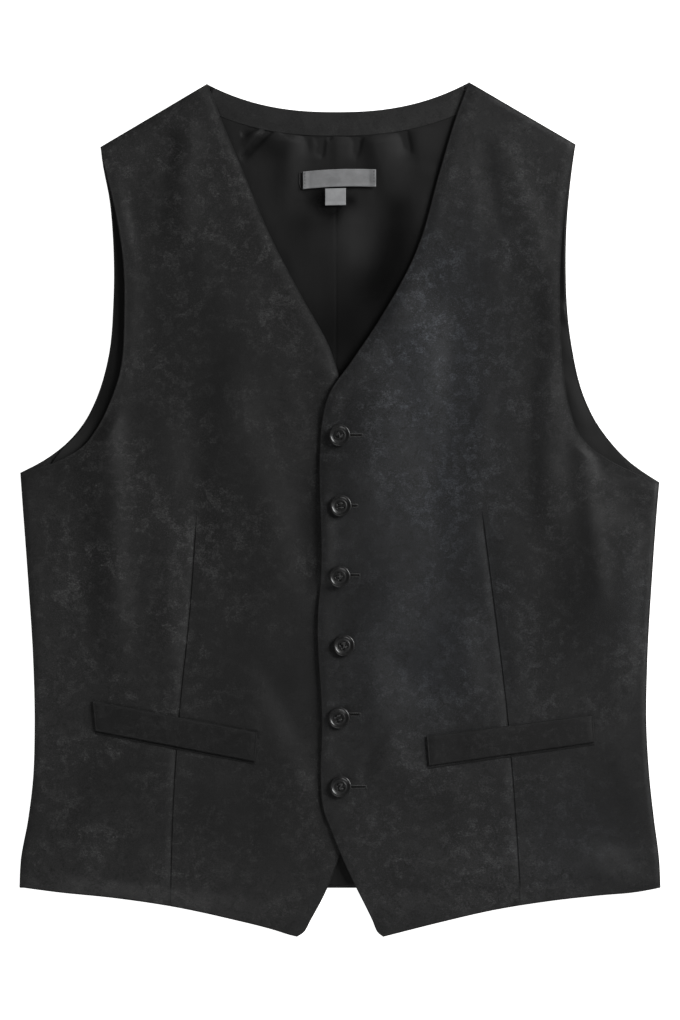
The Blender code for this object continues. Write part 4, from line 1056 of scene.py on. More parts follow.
@dataclass(frozen=True)
class LabelRibbon:
    """Grey woven satin ribbon, bare: fine crosswise ribs and a soft sheen."""

    name: str
    ground: float = 0.22
    turn_deg: float = 0.0

    def material(self) -> bpy.types.Material:
        """The ribbon's material."""
        material, bench, shader = new_material(self.name)
        vector = laid_vector(bench, (0.0, 0.0), self.turn_deg)
        weave = bench.add("Group", {"node_tree": GROUPS.weave}, Vector=vector, Pitch=0.42, Lean=0.05)
        place = bench.scaled(vector, 1000.0)
        cloud = bench.noise(place, 0.16, 3.0, 0.55).outputs["Fac"]
        tone = bench.mix(bench.between(cloud, 0.3, 0.7), grey(self.ground * 0.9, 0.02), grey(self.ground * 1.1, 0.02))
        # The colour is darker in the ribs' grooves and lighter on their crests: painted shade.
        fine = bench.between(weave.outputs["Height"], -1.2, 2.4, 0.88, 1.08)
        tint = bench.add("Mix", {"data_type": "RGBA", "blend_type": "MULTIPLY"}, i0=1.0, i6=tone,
                         i7=bench.add("CombineColor", None, i0=fine, i1=fine, i2=fine).outputs[0])
        bench.tree.links.new(tint.outputs[2], shader.inputs["Base Color"])
        shader.inputs["Roughness"].default_value = 0.48
        shader.inputs["Specular IOR Level"].default_value = 0.35
        bump = bench.add("Bump", None, Strength=0.5, Distance=0.00005, Height=weave.outputs["Height"])
        bench.tree.links.new(bump.outputs[0], shader.inputs["Normal"])
        return material


def dress(piece: bpy.types.Object, finish: object, slot: str, *stands_for: str) -> bpy.types.Object:
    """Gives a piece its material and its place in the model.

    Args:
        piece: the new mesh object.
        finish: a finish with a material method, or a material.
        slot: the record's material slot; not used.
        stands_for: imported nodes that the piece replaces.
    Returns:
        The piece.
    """
    piece.data.materials.append(finish if isinstance(finish, bpy.types.Material) else finish.material())
    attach(piece, "root")
    if stands_for:
        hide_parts(*stands_for)
    LOG.info("%s: %d faces", piece.name, len(piece.data.polygons))
    return piece


# ------------------------------------------------------------------ sub-assemblies
@dataclass
class FrontPanel:
    """One front: side seam, armhole, shoulder, neckline, closing edge, cutaway and hem, with its dart."""

    side: Side
    rim_share: float = 0.88
    top_radius: float = 0.5
    low_radius: float = 1.4
    pressed_thin: float = 0.55
    pressed_reach: float = 8.0
    edge_ridge: float = 0.10
    edge_ridge_width: float = 4.6
    seam_share: float = 0.25
    dart_step: float = 0.52
    dart_reach: float = 3.2
    underarm_share: float = 0.53
    row_pitch: float = 3.3
    column_pitch: float = 3.0
    dart_steps: tuple[float, ...] = (-3.4, -2.4, -1.6, -1.0, -0.5, -0.2, 0.0, 0.2, 0.5, 1.1, 2.2)

    def outline_point(self, u: Array, v: Array) -> Array:
        """Points at shares u from side to closing edge and v from hem to shoulder."""
        split = self.underarm_share
        low = PATTERN.side[self.side].at(np.clip(v / split, 0, 1))
        high = PATTERN.front_arm[self.side].at(np.clip((v - split) / (1 - split), 0, 1))
        outer = np.where((v <= split)[..., None], low, high)
        inner = PATTERN.closing[self.side].at(v)
        hem, top = PATTERN.hem[self.side].at(u), PATTERN.shoulder[self.side].at(u)
        corners = ((1 - u) * (1 - v))[..., None] * np.array(HEM_CORNER[self.side])
        corners = corners + (u * (1 - v))[..., None] * np.array(FRONT_POINT[self.side])
        corners = corners + ((1 - u) * v)[..., None] * np.array(SHOULDER_TIP[self.side])
        corners = corners + (u * v)[..., None] * np.array(NECK_POINT[self.side])
        u, v = u[..., None], v[..., None]
        return (1 - v) * hem + v * top + (1 - u) * outer + u * inner - corners

    def grid(self) -> tuple[Array, Array]:
        """Places of the shell's points, with one column kept on the dart and closer ones beside it.

        Returns:
            across and up, as rows by columns.
        """
        length = PATTERN.closing[self.side].length
        low = spread(length, self.row_pitch)
        rows = np.sort(np.r_[low[np.abs(low - self.underarm_share) > 0.0015], self.underarm_share])
        tries = np.broadcast_to(np.linspace(0.05, 0.95, 241), (len(rows), 241))
        there = self.outline_point(tries, np.broadcast_to(rows[:, None], tries.shape))
        beyond = (there[..., 0] - PATTERN.dart[self.side].across_at(there[..., 1])) * self.side.value
        first = np.argmax(beyond < 0, axis=1).clip(1)
        pick = np.arange(len(rows))
        before, after = beyond[pick, first - 1], beyond[pick, first]
        dart = tries[pick, first - 1] + (tries[0, 1] - tries[0, 0]) * before / (before - after)
        apex = int(np.searchsorted(rows, self.underarm_share))
        dart[apex:] = dart[apex]

        ends = self.outline_point(np.broadcast_to([0.0, 1.0], (len(rows), 2)),
                                  np.broadcast_to(rows[:, None], (len(rows), 2)))
        width = np.linalg.norm(ends[:, 1] - ends[:, 0], axis=1)[:, None]
        beside = np.array(self.dart_steps) / width
        outer_count = round(float(np.max(width[:, 0] * dart)) / self.column_pitch)
        inner_count = round(float(np.max(width[:, 0] * (1 - dart))) / self.column_pitch)
        start, end = FINE_STEPS / width, 1 - FINE_STEPS[::-1] / width
        dart = dart[:, None]

        def fill(low_end: Array, high_end: Array, count: int) -> Array:
            """Even columns strictly between two columns."""
            share = np.linspace(0, 1, count + 2)[None, 1:-1]
            return low_end + (high_end - low_end) * share

        u = np.concatenate([start, fill(start[:, -1:], dart + beside[:, :1], outer_count), dart + beside,
                            fill(dart + beside[:, -1:], end[:, :1], inner_count), end], axis=1)
        points = self.outline_point(u, np.broadcast_to(rows[:, None], u.shape))
        return points[..., 0], points[..., 1]

    def build(self) -> bpy.types.Object:
        """The front's shell: its wall is rounded to a rim near its top at every edge and pressed in along the dart.

        Returns:
            The mesh object.
        """
        across, up = self.grid()
        under = LIE.front_under(self.side, across, up)
        turned = np.minimum.reduce([
            PATTERN.closing[self.side].distance(across, up, 140), PATTERN.hem[self.side].distance(across, up),
            PATTERN.front_arm[self.side].distance(across, up),
        ])
        sewn = np.minimum(PATTERN.side[self.side].distance(across, up),
                          PATTERN.shoulder[self.side].distance(across, up, 4))
        near = np.minimum(turned, sewn)
        ridge = self.edge_ridge * (1 - ease((turned - self.edge_ridge_width) / 1.6)) * ease(sewn / 8.0)
        wall = FRONT_CLOTH - self.pressed_thin * (1 - ease(turned / self.pressed_reach)) + ridge
        held = LIE.sewn(self.side, across, up)
        high = under + wall - self.seam_share * (FRONT_REST - BACK_CLOTH) * held
        floor = under + (BACK_CLOTH + 0.3 - under) * held
        rim = high - (1.0 - self.rim_share) * wall
        top = rim + (high - rim) * rounded(near, self.top_radius)
        low = rim + (floor - rim) * rounded(near, self.low_radius)
        dart = PATTERN.dart[self.side]
        off = across - dart.across_at(up)
        run_in = ease((dart.points[0, 1] - up) / 22.0)
        beside = np.exp(-((off / self.dart_reach) ** 2)) * ease((0.18 - off) / 0.36)
        top -= self.dart_step * beside * run_in
        parts = MeshParts()
        shell_parts(parts, across, up, low, top)
        return parts.build(f"front_{self.side.word}_cloth")

    def dress(self) -> bpy.types.Object:
        """Suiting, cut as one sheet from the shoulder to the point."""
        turn = {Side.RIGHT: (0.21, 0.05), Side.LEFT: (0.83, 0.37)}[self.side]
        # The left front's ground is a little lighter and cooler than the right front's: painted light.
        ground, cool = {Side.RIGHT: (0.0093, 0.0), Side.LEFT: (0.0097, 0.02)}[self.side]
        finish = Suiting(f"suiting_front_{self.side.word}", shift=turn, ground=ground, cool=cool)
        piece = dress(self.build(), finish, "suiting", f"front_{self.side.word}")
        return piece


@dataclass
class Back:
    """The plain outer back in two halves, which meet in the centre back seam."""

    edge_radius: float = 0.55
    seam_gap: float = -0.04
    row_pitch: float = 7.0

    def build(self, side: Side) -> bpy.types.Object:
        """One half, from the centre seam out to the side seam and up to the neck and shoulder.

        Args:
            side: which half.
        Returns:
            The mesh object.
        """
        seam = CENTRE_BACK + side.value * self.seam_gap
        neck_across = np.linspace(seam, NECK_POINT[side].across, 60)
        neck = PatternEdge(*zip(neck_across, neck_curve(neck_across)), per_spot=3)
        corner = neck.length / (neck.length + PATTERN.shoulder[side].length)
        total = neck.length + PATTERN.shoulder[side].length
        u = spread(total, self.row_pitch)
        u = np.sort(np.r_[u[np.abs(u - corner) > 0.004], corner])
        top = np.where((u <= corner)[:, None], neck.at(np.clip(u / corner, 0, 1)),
                       PATTERN.shoulder[side].at(1 - np.clip((u - corner) / (1 - corner), 0, 1)))
        side_edge, arm = PATTERN.side[side], PATTERN.back_arm[side]
        split = side_edge.length / (side_edge.length + arm.length)
        v = spread(side_edge.length + arm.length, self.row_pitch)
        v = np.sort(np.r_[v[np.abs(v - split) > 0.004], split])
        outer = np.where((v <= split)[:, None], side_edge.at(np.clip(v / split, 0, 1)),
                         arm.at(np.clip((v - split) / (1 - split), 0, 1)))
        centre = np.stack([np.full_like(v, seam), BACK_HEM_UP + v * (NECK_DIP_UP - BACK_HEM_UP)], -1)
        outer[:, 1] += (BACK_HEM_UP - outer[0, 1]) * (1 - ease(v / 0.05))
        hem = centre[0] * (1 - u[:, None]) + outer[0] * u[:, None]
        grid_u, grid_v = np.meshgrid(u, v)
        points = blend_edges(grid_u, grid_v, hem[None], top[None], centre[:, None], outer[:, None])
        across, up = points[..., 0], points[..., 1]
        shoulder = PATTERN.shoulder[side].distance(across, up, 4)
        near = np.minimum.reduce([side_edge.distance(across, up, 60), arm.distance(across, up, 60), shoulder,
                                  neck.distance(across, up, 60), up - BACK_HEM_UP, np.abs(across - seam)])
        full = rounded(near, self.edge_radius)
        parts = MeshParts()
        high = BACK_CLOTH * (0.5 + 0.5 * full)
        low = BACK_CLOTH * (0.5 - 0.5 * full)
        low += 0.35 * np.exp(-((np.abs(across - seam) / 1.1) ** 2)) * full
        shell_parts(parts, across, up, low, high)
        return parts.build(f"back_{side.word}_cloth")

    def dress(self) -> list[bpy.types.Object]:
        """Both halves in the suiting."""
        pieces = []
        for side in Side:
            finish = Suiting(f"suiting_back_{side.word}", shift=(0.4 * side.value, 0.9))
            piece = dress(self.build(side), finish, "suiting", f"back_{side.word}")
            pieces.append(piece)
        return pieces


@dataclass
class BackLining:
    """The satin lining of the back, eased into the neck facing in gathers."""

    side_inset: float = 12.0
    armhole_inset: float = 0.9
    shoulder_inset: float = 22.0
    seam_overlap: float = 0.5
    edge_radius: float = 0.5
    seam_line_up: float = 262.0

    def side_edges(self, side: Side) -> tuple[PatternEdge, PatternEdge, Spot]:
        """The side and armhole edges of the lining, and its shoulder corner."""
        inward = -side.value
        under_corner = Spot(UNDERARM[side].across + inward * self.side_inset, UNDERARM[side].up - 10.0)
        hem = Spot(HEM_CORNER[side].across + inward * self.side_inset, BACK_HEM_UP + 2.0)
        seam = [(s[0] + inward * self.side_inset, s[1]) for s in SIDE_SEAM[side][1:]]
        tip_up = SHOULDER_TIP[side].up - self.shoulder_inset
        arm = PATTERN.back_arm[side].inset(inward * self.armhole_inset, 30)
        rising = [tuple(p) for p in arm[4:] if p[1] < tip_up - 4.0]
        tip = Spot(float(PATTERN.back_arm[side].across_at(tip_up)) + inward * self.armhole_inset, tip_up)
        return PatternEdge(hem, *seam, under_corner), PatternEdge(under_corner, *rising, tip), tip

    def build(self) -> bpy.types.Object:
        """The lining's shell: its grid is closest where the open neckline leaves it bare.

        Returns:
            The mesh object.
        """
        edges = {side: self.side_edges(side) for side in Side}
        low, high = np.linspace(0, 0.5, 26)[1:], np.linspace(0, 1, 150)
        v = np.r_[0.0, 0.0006, 0.002, low, 0.5 + 0.5 * (1 - (1 - high[1:]) ** 1.35)]

        def side_points(side: Side) -> Array:
            """Points up a side of the lining at each v."""
            seam, arm, _ = edges[side]
            return np.where((v <= 0.5)[:, None], seam.at(np.clip(v * 2, 0, 1)), arm.at(np.clip(v * 2 - 1, 0, 1)))

        ends = (NECK_POINT[Side.RIGHT].across + FACING_SHORT, NECK_POINT[Side.LEFT].across - FACING_SHORT)
        neck_across = np.linspace(*ends, 80)
        neck = PatternEdge(*zip(neck_across, neck_curve(neck_across)), per_spot=4)
        seam_line = neck.inset(FACING_DEPTH - self.seam_overlap, 215)
        right_tip, left_tip = edges[Side.RIGHT][2], edges[Side.LEFT][2]
        top = np.concatenate([
            PatternEdge(right_tip, tuple(seam_line[0])).at(spread(70.0, 4.0, TRIM_STEPS))[:-9],
            seam_line,
            PatternEdge(tuple(seam_line[-1]), left_tip).at(spread(70.0, 4.0, TRIM_STEPS))[9:],
        ])
        run = np.r_[0.0, np.cumsum(np.linalg.norm(np.diff(top, axis=0), axis=1))]
        grid_u, grid_v = np.meshgrid(run / run[-1], v)
        start, end = side_points(Side.RIGHT), side_points(Side.LEFT)
        hem = start[0] + (end[0] - start[0]) * (run / run[-1])[:, None]
        points = blend_edges(grid_u, grid_v, hem[None], top[None], start[:, None], end[:, None])
        across, up = points[..., 0], points[..., 1]
        height = LIE.lining_top(across, up)
        seam_crease = np.exp(-(((across - CENTRE_BACK) / 0.8) ** 2)) * ease((self.seam_line_up - up) / 40.0)
        height -= 0.10 * seam_crease
        thickness = LINING_TOP - LINING_UNDER
        near = np.minimum.reduce([edges[Side.RIGHT][1].distance(across, up, 60),
                                  edges[Side.LEFT][1].distance(across, up, 60),
                                  edges[Side.RIGHT][0].distance(across, up, 40),
                                  edges[Side.LEFT][0].distance(across, up, 40), up - hem[0, 1]])
        full = rounded(near, self.edge_radius)
        middle = height - thickness / 2
        parts = MeshParts()
        shell_parts(parts, across, up, middle - thickness / 2 * full, middle + thickness / 2 * full)
        return parts.build("back_lining_cloth")

    def dress(self) -> bpy.types.Object:
        """Black satin, a little wider at the neck than the seam it is gathered into."""
        piece = dress(self.build(), LiningSatin("lining_satin"), "lining", "back_lining")
        return piece


@dataclass
class NeckFacing:
    """The band of suiting round the inside of the back neck."""

    edge_radius: float = 0.6
    thickness: float = 1.25
    puff: float = 0.25

    def build(self) -> bpy.types.Object:
        """A band: the neck edge carried down into the back by the facing's depth, with its edges turned."""
        across = np.linspace(NECK_POINT[Side.RIGHT].across + FACING_SHORT,
                             NECK_POINT[Side.LEFT].across - FACING_SHORT, 80)
        neck = PatternEdge(*zip(across, neck_curve(across)), per_spot=4)
        depth = spread(FACING_DEPTH, 1.6, TRIM_STEPS) * FACING_DEPTH
        columns = 150
        lines = np.array([neck.inset(float(d), columns) for d in depth + 0.2])
        along = np.linspace(0, neck.length, columns)[None, :]
        near = np.minimum(np.minimum(depth[:, None], FACING_DEPTH - depth[:, None]),
                          np.minimum(along, neck.length - along))
        full = rounded(near, self.edge_radius)
        swell = self.puff * np.sin(np.pi * depth / FACING_DEPTH)[:, None] + 0.20 * waves_at(
            lines[..., 0] * 2.2, lines[..., 1] * 2.2)
        middle = LINING_UNDER + self.thickness / 2
        top = middle + (self.thickness / 2 + swell) * full
        parts = MeshParts()
        shell_parts(parts, lines[..., 0], lines[..., 1], middle - self.thickness / 2 * full, top)
        return parts.build("neck_facing_cloth")

    def dress(self) -> bpy.types.Object:
        """Suiting cut on the curve."""
        finish = Suiting("suiting_facing", shift=(0.5, 0.2), ground=0.0128, fleck=0.036, shade=0.0050)
        piece = dress(self.build(), finish, "suiting", "neck_facing")
        return piece


@dataclass
class PocketWelt:
    """A slanted welt: a folded strip sewn along its lower edge and down its two ends."""

    side: Side
    thickness: float = 1.5
    clearance: float = 0.2
    edge_radius: float = 0.8
    puff: float = 0.22
    seam_width: float = 1.2
    tack_pitch: float = 1.9

    def strip(self, along: Array, down: Array) -> tuple[Array, Array]:
        """Points of the welt: the four corners blended by the share along and the share down."""
        top_outer, top_inner, bottom_inner, bottom_outer = (np.array(s) for s in WELT[self.side])
        u, v = along[..., None], down[..., None]
        points = ((1 - v) * ((1 - u) * top_outer + u * top_inner)
                  + v * ((1 - u) * bottom_outer + u * bottom_inner))
        return points[..., 0], points[..., 1]

    def build(self) -> bpy.types.Object:
        """The welt's shell, following the front that it is sewn on."""
        length = float(np.linalg.norm(np.subtract(WELT[self.side][1], WELT[self.side][0])))
        depth = 22.0
        u, v = np.meshgrid(spread(length, 2.0, TRIM_STEPS), spread(depth, 1.2, TRIM_STEPS))
        across, up = self.strip(u, v)
        ground = LIE.front_top(self.side, across, up)
        near = np.minimum.reduce([u * length, (1 - u) * length, v * depth, (1 - v) * depth])
        full = rounded(near, self.edge_radius)
        ends = np.minimum(u, 1 - u) * length
        stitched = 0.12 * np.exp(-(((ends - 1.5) / 0.7) ** 2))
        pressed = ease(v * depth / 3.0) * ease((1 - v) * depth / 3.0) * ease(ends / 5.0)
        middle = ground + self.clearance + self.thickness / 2
        top = middle + (self.thickness / 2 + self.puff * pressed - stitched) * full
        parts = MeshParts()
        shell_parts(parts, across, up, middle - self.thickness / 2 * full, top)
        return parts.build(f"welt_{self.side.word}_cloth")

    def build_seam(self) -> bpy.types.Object:
        """The narrow turned edge of the seam that shows under the welt's lower edge."""
        length = float(np.linalg.norm(np.subtract(WELT[self.side][2], WELT[self.side][3])))
        u, w = np.meshgrid(spread(length, 2.0, TRIM_STEPS), spread(self.seam_width, 0.3, edge_steps(0.0, 0.1, 0.3)))
        across, up = self.strip(u, np.ones_like(u))
        up = up - 1.0 - w * self.seam_width
        ground = LIE.front_top(self.side, across, up)
        near = np.minimum.reduce([u * length, (1 - u) * length, w * self.seam_width, (1 - w) * self.seam_width])
        full = rounded(near, 0.5)
        parts = MeshParts()
        shell_parts(parts, across, up, ground + 0.2 - 0.15 * full, ground + 0.2 + 0.25 * full)
        return parts.build(f"welt_{self.side.word}_seam")

    def build_tacks(self) -> bpy.types.Object:
        """Short stitches down both ends, each an arc of thread that dives into the cloth."""
        parts = MeshParts()
        length = float(np.linalg.norm(np.subtract(WELT[self.side][1], WELT[self.side][0])))
        for end in (1.5 / length, 1 - 1.5 / length):
            for share in np.arange(1.4, 20.8, self.tack_pitch) / 22.0:
                down = share + np.linspace(-0.52, 0.52, 9) / 22.0
                across, up = self.strip(np.full(9, end), down)
                arc = np.sin(np.linspace(0, np.pi, 9))
                height = LIE.front_top(self.side, across, up) + self.clearance + self.thickness - 0.48
                path = np.stack([across, up, height + 0.26 * arc], -1)
                tube_parts(parts, path, 0.05 + 0.13 * np.sqrt(arc), 6)
        return parts.build(f"welt_{self.side.word}_tacks")

    def dress(self) -> list[bpy.types.Object]:
        """The strip, its seam and its stitches."""
        turn = math.degrees(math.atan2(*np.subtract(WELT[Side.LEFT][0], WELT[Side.LEFT][1])[::-1]))
        turn = turn if self.side is Side.LEFT else -10.8
        shift = (0.33, 0.6) if self.side is Side.LEFT else (0.12, 0.77)
        finish = Suiting(f"suiting_welt_{self.side.word}", shift=shift, turn_deg=-turn, ground=0.0030, fleck=0.024)
        welt = dress(self.build(), finish, "suiting", f"welt_{self.side.word}")
        seam = dress(self.build_seam(), welt.data.materials[0], "suiting")
        tacks = dress(self.build_tacks(), SewingThread(f"tack_thread_{self.side.word}", 0.010), "suiting")
        return [welt, seam, tacks]


class Sewn(Enum):
    """How a button's thread goes between its four holes, by hole numbers."""

    BARS = ((0, 1), (3, 2))
    CROSS = ((0, 2), (1, 3))
    ZED = ((0, 1), (3, 2), (0, 2))


@dataclass(frozen=True)
class ButtonPlace:
    """Where a button is, how it leans and how it is sewn."""

    across: float
    up: float
    spin_deg: float
    tilt_deg: float
    tilt_towards_deg: float
    sewn: Sewn
    hole_end: float
    hole_drop: float = 0.0


BUTTONS = (
    ButtonPlace(-0.3, 55.9, 62.0, 1.5, 200.0, Sewn.ZED, 15.9), ButtonPlace(0.6, 3.2, 4.0, 2.5, 60.0, Sewn.BARS, 12.2),
    ButtonPlace(-0.2, -49.7, 48.0, 2.0, 230.0, Sewn.CROSS, 13.8, 0.9), ButtonPlace(2.9, -101.2, 28.0, 3.0, 50.0, Sewn.ZED, 9.6),
    ButtonPlace(-0.7, -155.3, 20.0, 2.0, 215.0, Sewn.BARS, 14.4, 2.4), ButtonPlace(0.4, -206.9, 8.0, 2.5, 55.0, Sewn.ZED, 18.7, -0.2),
)


@dataclass
class Button:
    """A four-hole button with a raised rim, its thread and the buttonhole that it is pushed through."""

    number: int
    place: ButtonPlace
    radius: float = 8.0
    hole_radius: float = 0.95
    hole_spacing: float = 3.2
    around: int = 72
    profile: tuple[tuple[float, float], ...] = (
        (0.0, 1.90), (2.0, 1.90), (4.2, 1.95), (4.75, 1.72), (5.3, 1.90), (6.0, 2.12), (6.5, 2.5), (7.05, 2.66), (7.55, 2.58),
        (7.95, 2.2), (8.05, 1.7), (7.8, 1.0), (7.1, 0.45), (5.6, 0.03), (2.8, 0.0), (0.0, 0.0))
    lean: Array = field(init=False, repr=False)
    seat: Array = field(init=False, repr=False)

    def __post_init__(self) -> None:
        """Works out the button's turn and seat: it leans about its middle and clears the cloth under its rim."""
        tilt, towards = math.radians(self.place.tilt_deg), math.radians(self.place.tilt_towards_deg)
        spin = math.radians(self.place.spin_deg)
        about_x, about_y = -tilt * math.sin(towards), tilt * math.cos(towards)
        roll = np.array([[1, 0, 0], [0, math.cos(about_x), -math.sin(about_x)],
                         [0, math.sin(about_x), math.cos(about_x)]])
        pitch = np.array([[math.cos(about_y), 0, math.sin(about_y)], [0, 1, 0],
                          [-math.sin(about_y), 0, math.cos(about_y)]])
        yaw = np.array([[math.cos(spin), -math.sin(spin), 0], [math.sin(spin), math.cos(spin), 0], [0, 0, 1]])
        self.lean = pitch @ roll @ yaw
        turn = np.radians(np.arange(0, 360, 30))
        ground = LIE.front_top(Side.LEFT, self.place.across + self.radius * np.cos(turn),
                               self.place.up + self.radius * np.sin(turn)).max()
        clear = (self.radius - 1.5) * math.sin(tilt) - 0.3
        self.seat = np.array([self.place.across, self.place.up, float(ground) + clear])

    def holes(self) -> Array:
        """Middles of the four holes in the button's own frame, going round."""
        half = self.hole_spacing / 2
        return np.array([(half, half), (-half, half), (-half, -half), (half, -half)])

    def build(self) -> bpy.types.Object:
        """The turned disc: its profile revolved about its middle, with four round wells sunk in its dish."""
        edge = PatternEdge(*self.profile)
        dish = 4.2 / edge.length
        share = np.r_[np.arange(0.0, 4.2, 0.13) / edge.length, np.arange(dish, 1.0, 0.32 / edge.length), 1.0]
        line = edge.at(share)[1:-1]
        turn = np.arange(self.around) * (2 * math.pi / self.around)
        x, y = line[:, :1] * np.cos(turn), line[:, :1] * np.sin(turn)
        z = np.broadcast_to(line[:, 1:2], x.shape).copy()
        on_top = (share[1:-1] < dish * 1.02)[:, None]
        for hole in self.holes():
            away = np.hypot(x - hole[0], y - hole[1])
            z -= np.where(on_top, 1.9 * (1 - ease((away - self.hole_radius + 0.12) / 0.26)), 0.0)
        rings, count = x.shape
        points = np.stack([x, y, z], -1).reshape(-1, 3)
        poles = np.array([[0.0, 0.0, edge.points[0, 1]], [0.0, 0.0, edge.points[-1, 1]]])
        number = np.arange(rings * count).reshape(rings, count)
        quads = np.stack([number[:-1], number[1:], np.roll(number[1:], -1, 1), np.roll(number[:-1], -1, 1)], -1)
        first, last = number[0], number[-1]
        cap = np.stack([np.full(count, rings * count), first, np.roll(first, -1)], -1)
        base = np.stack([np.full(count, rings * count + 1), np.roll(last, -1), last], -1)
        parts = MeshParts()
        out = np.hypot(points[:, 0], points[:, 1])
        # Painted shade: dark at the disc's outer edge and in the groove at 4.75 mm.
        dark = ease((out - 7.8) / 0.2) + 0.7 * np.exp(-(((out - 4.75) / 0.35) ** 2))
        parts.add(np.concatenate([points, poles]) @ self.lean.T + self.seat, quads.reshape(-1, 4), cap, base,
                  rim=np.r_[dark, 0.0, 0.0])
        return parts.build(f"button_{self.number}_turned")

    def build_thread(self) -> bpy.types.Object:
        """Strands over the dish from hole to hole, and the wound shank below the button."""
        parts = MeshParts()
        holes = self.holes()
        for order, (start, end) in enumerate(self.place.sewn.value):
            run = holes[end] - holes[start]
            aside = np.array([-run[1], run[0]]) / np.linalg.norm(run)
            for strand in (-0.28, 0.28):
                share = np.linspace(-0.10, 1.10, 19)
                flat = holes[start] + share[:, None] * run + aside * strand
                bow = np.sin(np.clip((share + 0.1) / 1.2, 0, 1) * np.pi)
                height = 1.0 + 1.34 * bow**0.45 + 0.16 * order
                path = np.column_stack([flat, height])
                tube_parts(parts, path @ self.lean.T + self.seat, 0.235, 7)
        winding = np.linspace(0, 7 * 2 * np.pi, 90)
        shank = np.column_stack([1.25 * np.cos(winding), 1.25 * np.sin(winding), np.linspace(-0.75, 0.12, 90)])
        tube_parts(parts, shank @ self.lean.T + self.seat, 0.26, 6)
        return parts.build(f"button_{self.number}_thread")

    def hole_path(self, count: int) -> Array:
        """The buttonhole's outline: two straight lips joined by half circles, laid on the front.

        Args:
            count: points round it.
        Returns:
            N by 3, in millimetres.
        """
        start, end, half = self.place.across - 3.0, self.place.hole_end, 1.05
        straight = end - start
        total = 2 * straight + 2 * math.pi * half
        s = np.linspace(0, total, count, endpoint=False)
        arc = math.pi * half
        far = (s - straight) / half
        near = (s - 2 * straight - arc) / half
        x = np.select([s < straight, s < straight + arc, s < 2 * straight + arc],
                      [start + s, end + half * np.sin(far), end - (s - straight - arc)], start - half * np.sin(near))
        y = np.select([s < straight, s < straight + arc, s < 2 * straight + arc],
                      [-half + 0 * s, -half * np.cos(far), half + 0 * s], half * np.cos(near))
        drop = self.place.hole_drop * ease((x - self.place.across) / 8.0)
        across, up = x, self.place.up + y + drop
        return np.stack([across, up, LIE.front_top(Side.LEFT, across, up)], -1)

    def build_hole(self) -> bpy.types.Object:
        """Buttonhole stitch: a purled bead round the slit, its radius rippled once a stitch, with a bar at its end."""
        parts = MeshParts()
        path = self.hole_path(520)
        run = np.arange(len(path)) / len(path) * (2 * (self.place.hole_end - self.place.across + 3.0) + 4.5)
        purl = 0.40 + 0.07 * np.sin(run * 2 * np.pi / 0.70)
        lip = self.place.up + self.place.hole_drop * ease((path[:, 0] - self.place.across) / 8.0)
        path[:, 2] += np.where(path[:, 1] > lip, 0.22, -0.28)
        tube_parts(parts, path, purl, 8, closed=True)
        end = self.place.hole_end + 1.1
        up = self.place.up + self.place.hole_drop + np.linspace(-1.6, 1.6, 15)
        bar = np.column_stack([np.full(15, end), up, LIE.front_top(Side.LEFT, np.full(15, end), up) + 0.12])
        tube_parts(parts, bar, 0.08 + 0.20 * np.sqrt(np.sin(np.linspace(0.02, np.pi - 0.02, 15))), 7)
        return parts.build(f"buttonhole_{self.number}_purl")

    def build_slit(self) -> bpy.types.Object:
        """The slit between the lips: a narrow strip sunk between the beads, coloured near black as a painted shadow."""
        across = np.linspace(self.place.across - 3.0, self.place.hole_end, 24)
        drop = self.place.hole_drop * ease((across - self.place.across) / 8.0)
        u, w = np.meshgrid(across, np.linspace(-0.9, 0.9, 5))
        up = self.place.up + w + drop[None]
        ground = LIE.front_top(Side.LEFT, u, up)
        full = rounded(0.9 - np.abs(w), 0.3) * ease((u - across[0]) / 0.5) * ease((across[-1] - u) / 0.5)
        parts = MeshParts()
        shell_parts(parts, u, up, ground - 0.12 * full, ground + 0.10 * full)
        return parts.build(f"buttonhole_{self.number}_slit")

    def dress(self, resin: bpy.types.Material, thread: bpy.types.Material, purl: bpy.types.Material,
              slit: bpy.types.Material) -> list[bpy.types.Object]:
        """The disc, its thread and its buttonhole."""
        return [
            dress(self.build(), resin, "button", f"button_{self.number}"),
            dress(self.build_thread(), thread, "suiting"),
            dress(self.build_hole(), purl, "suiting"),
            dress(self.build_slit(), slit, "lining"),
        ]


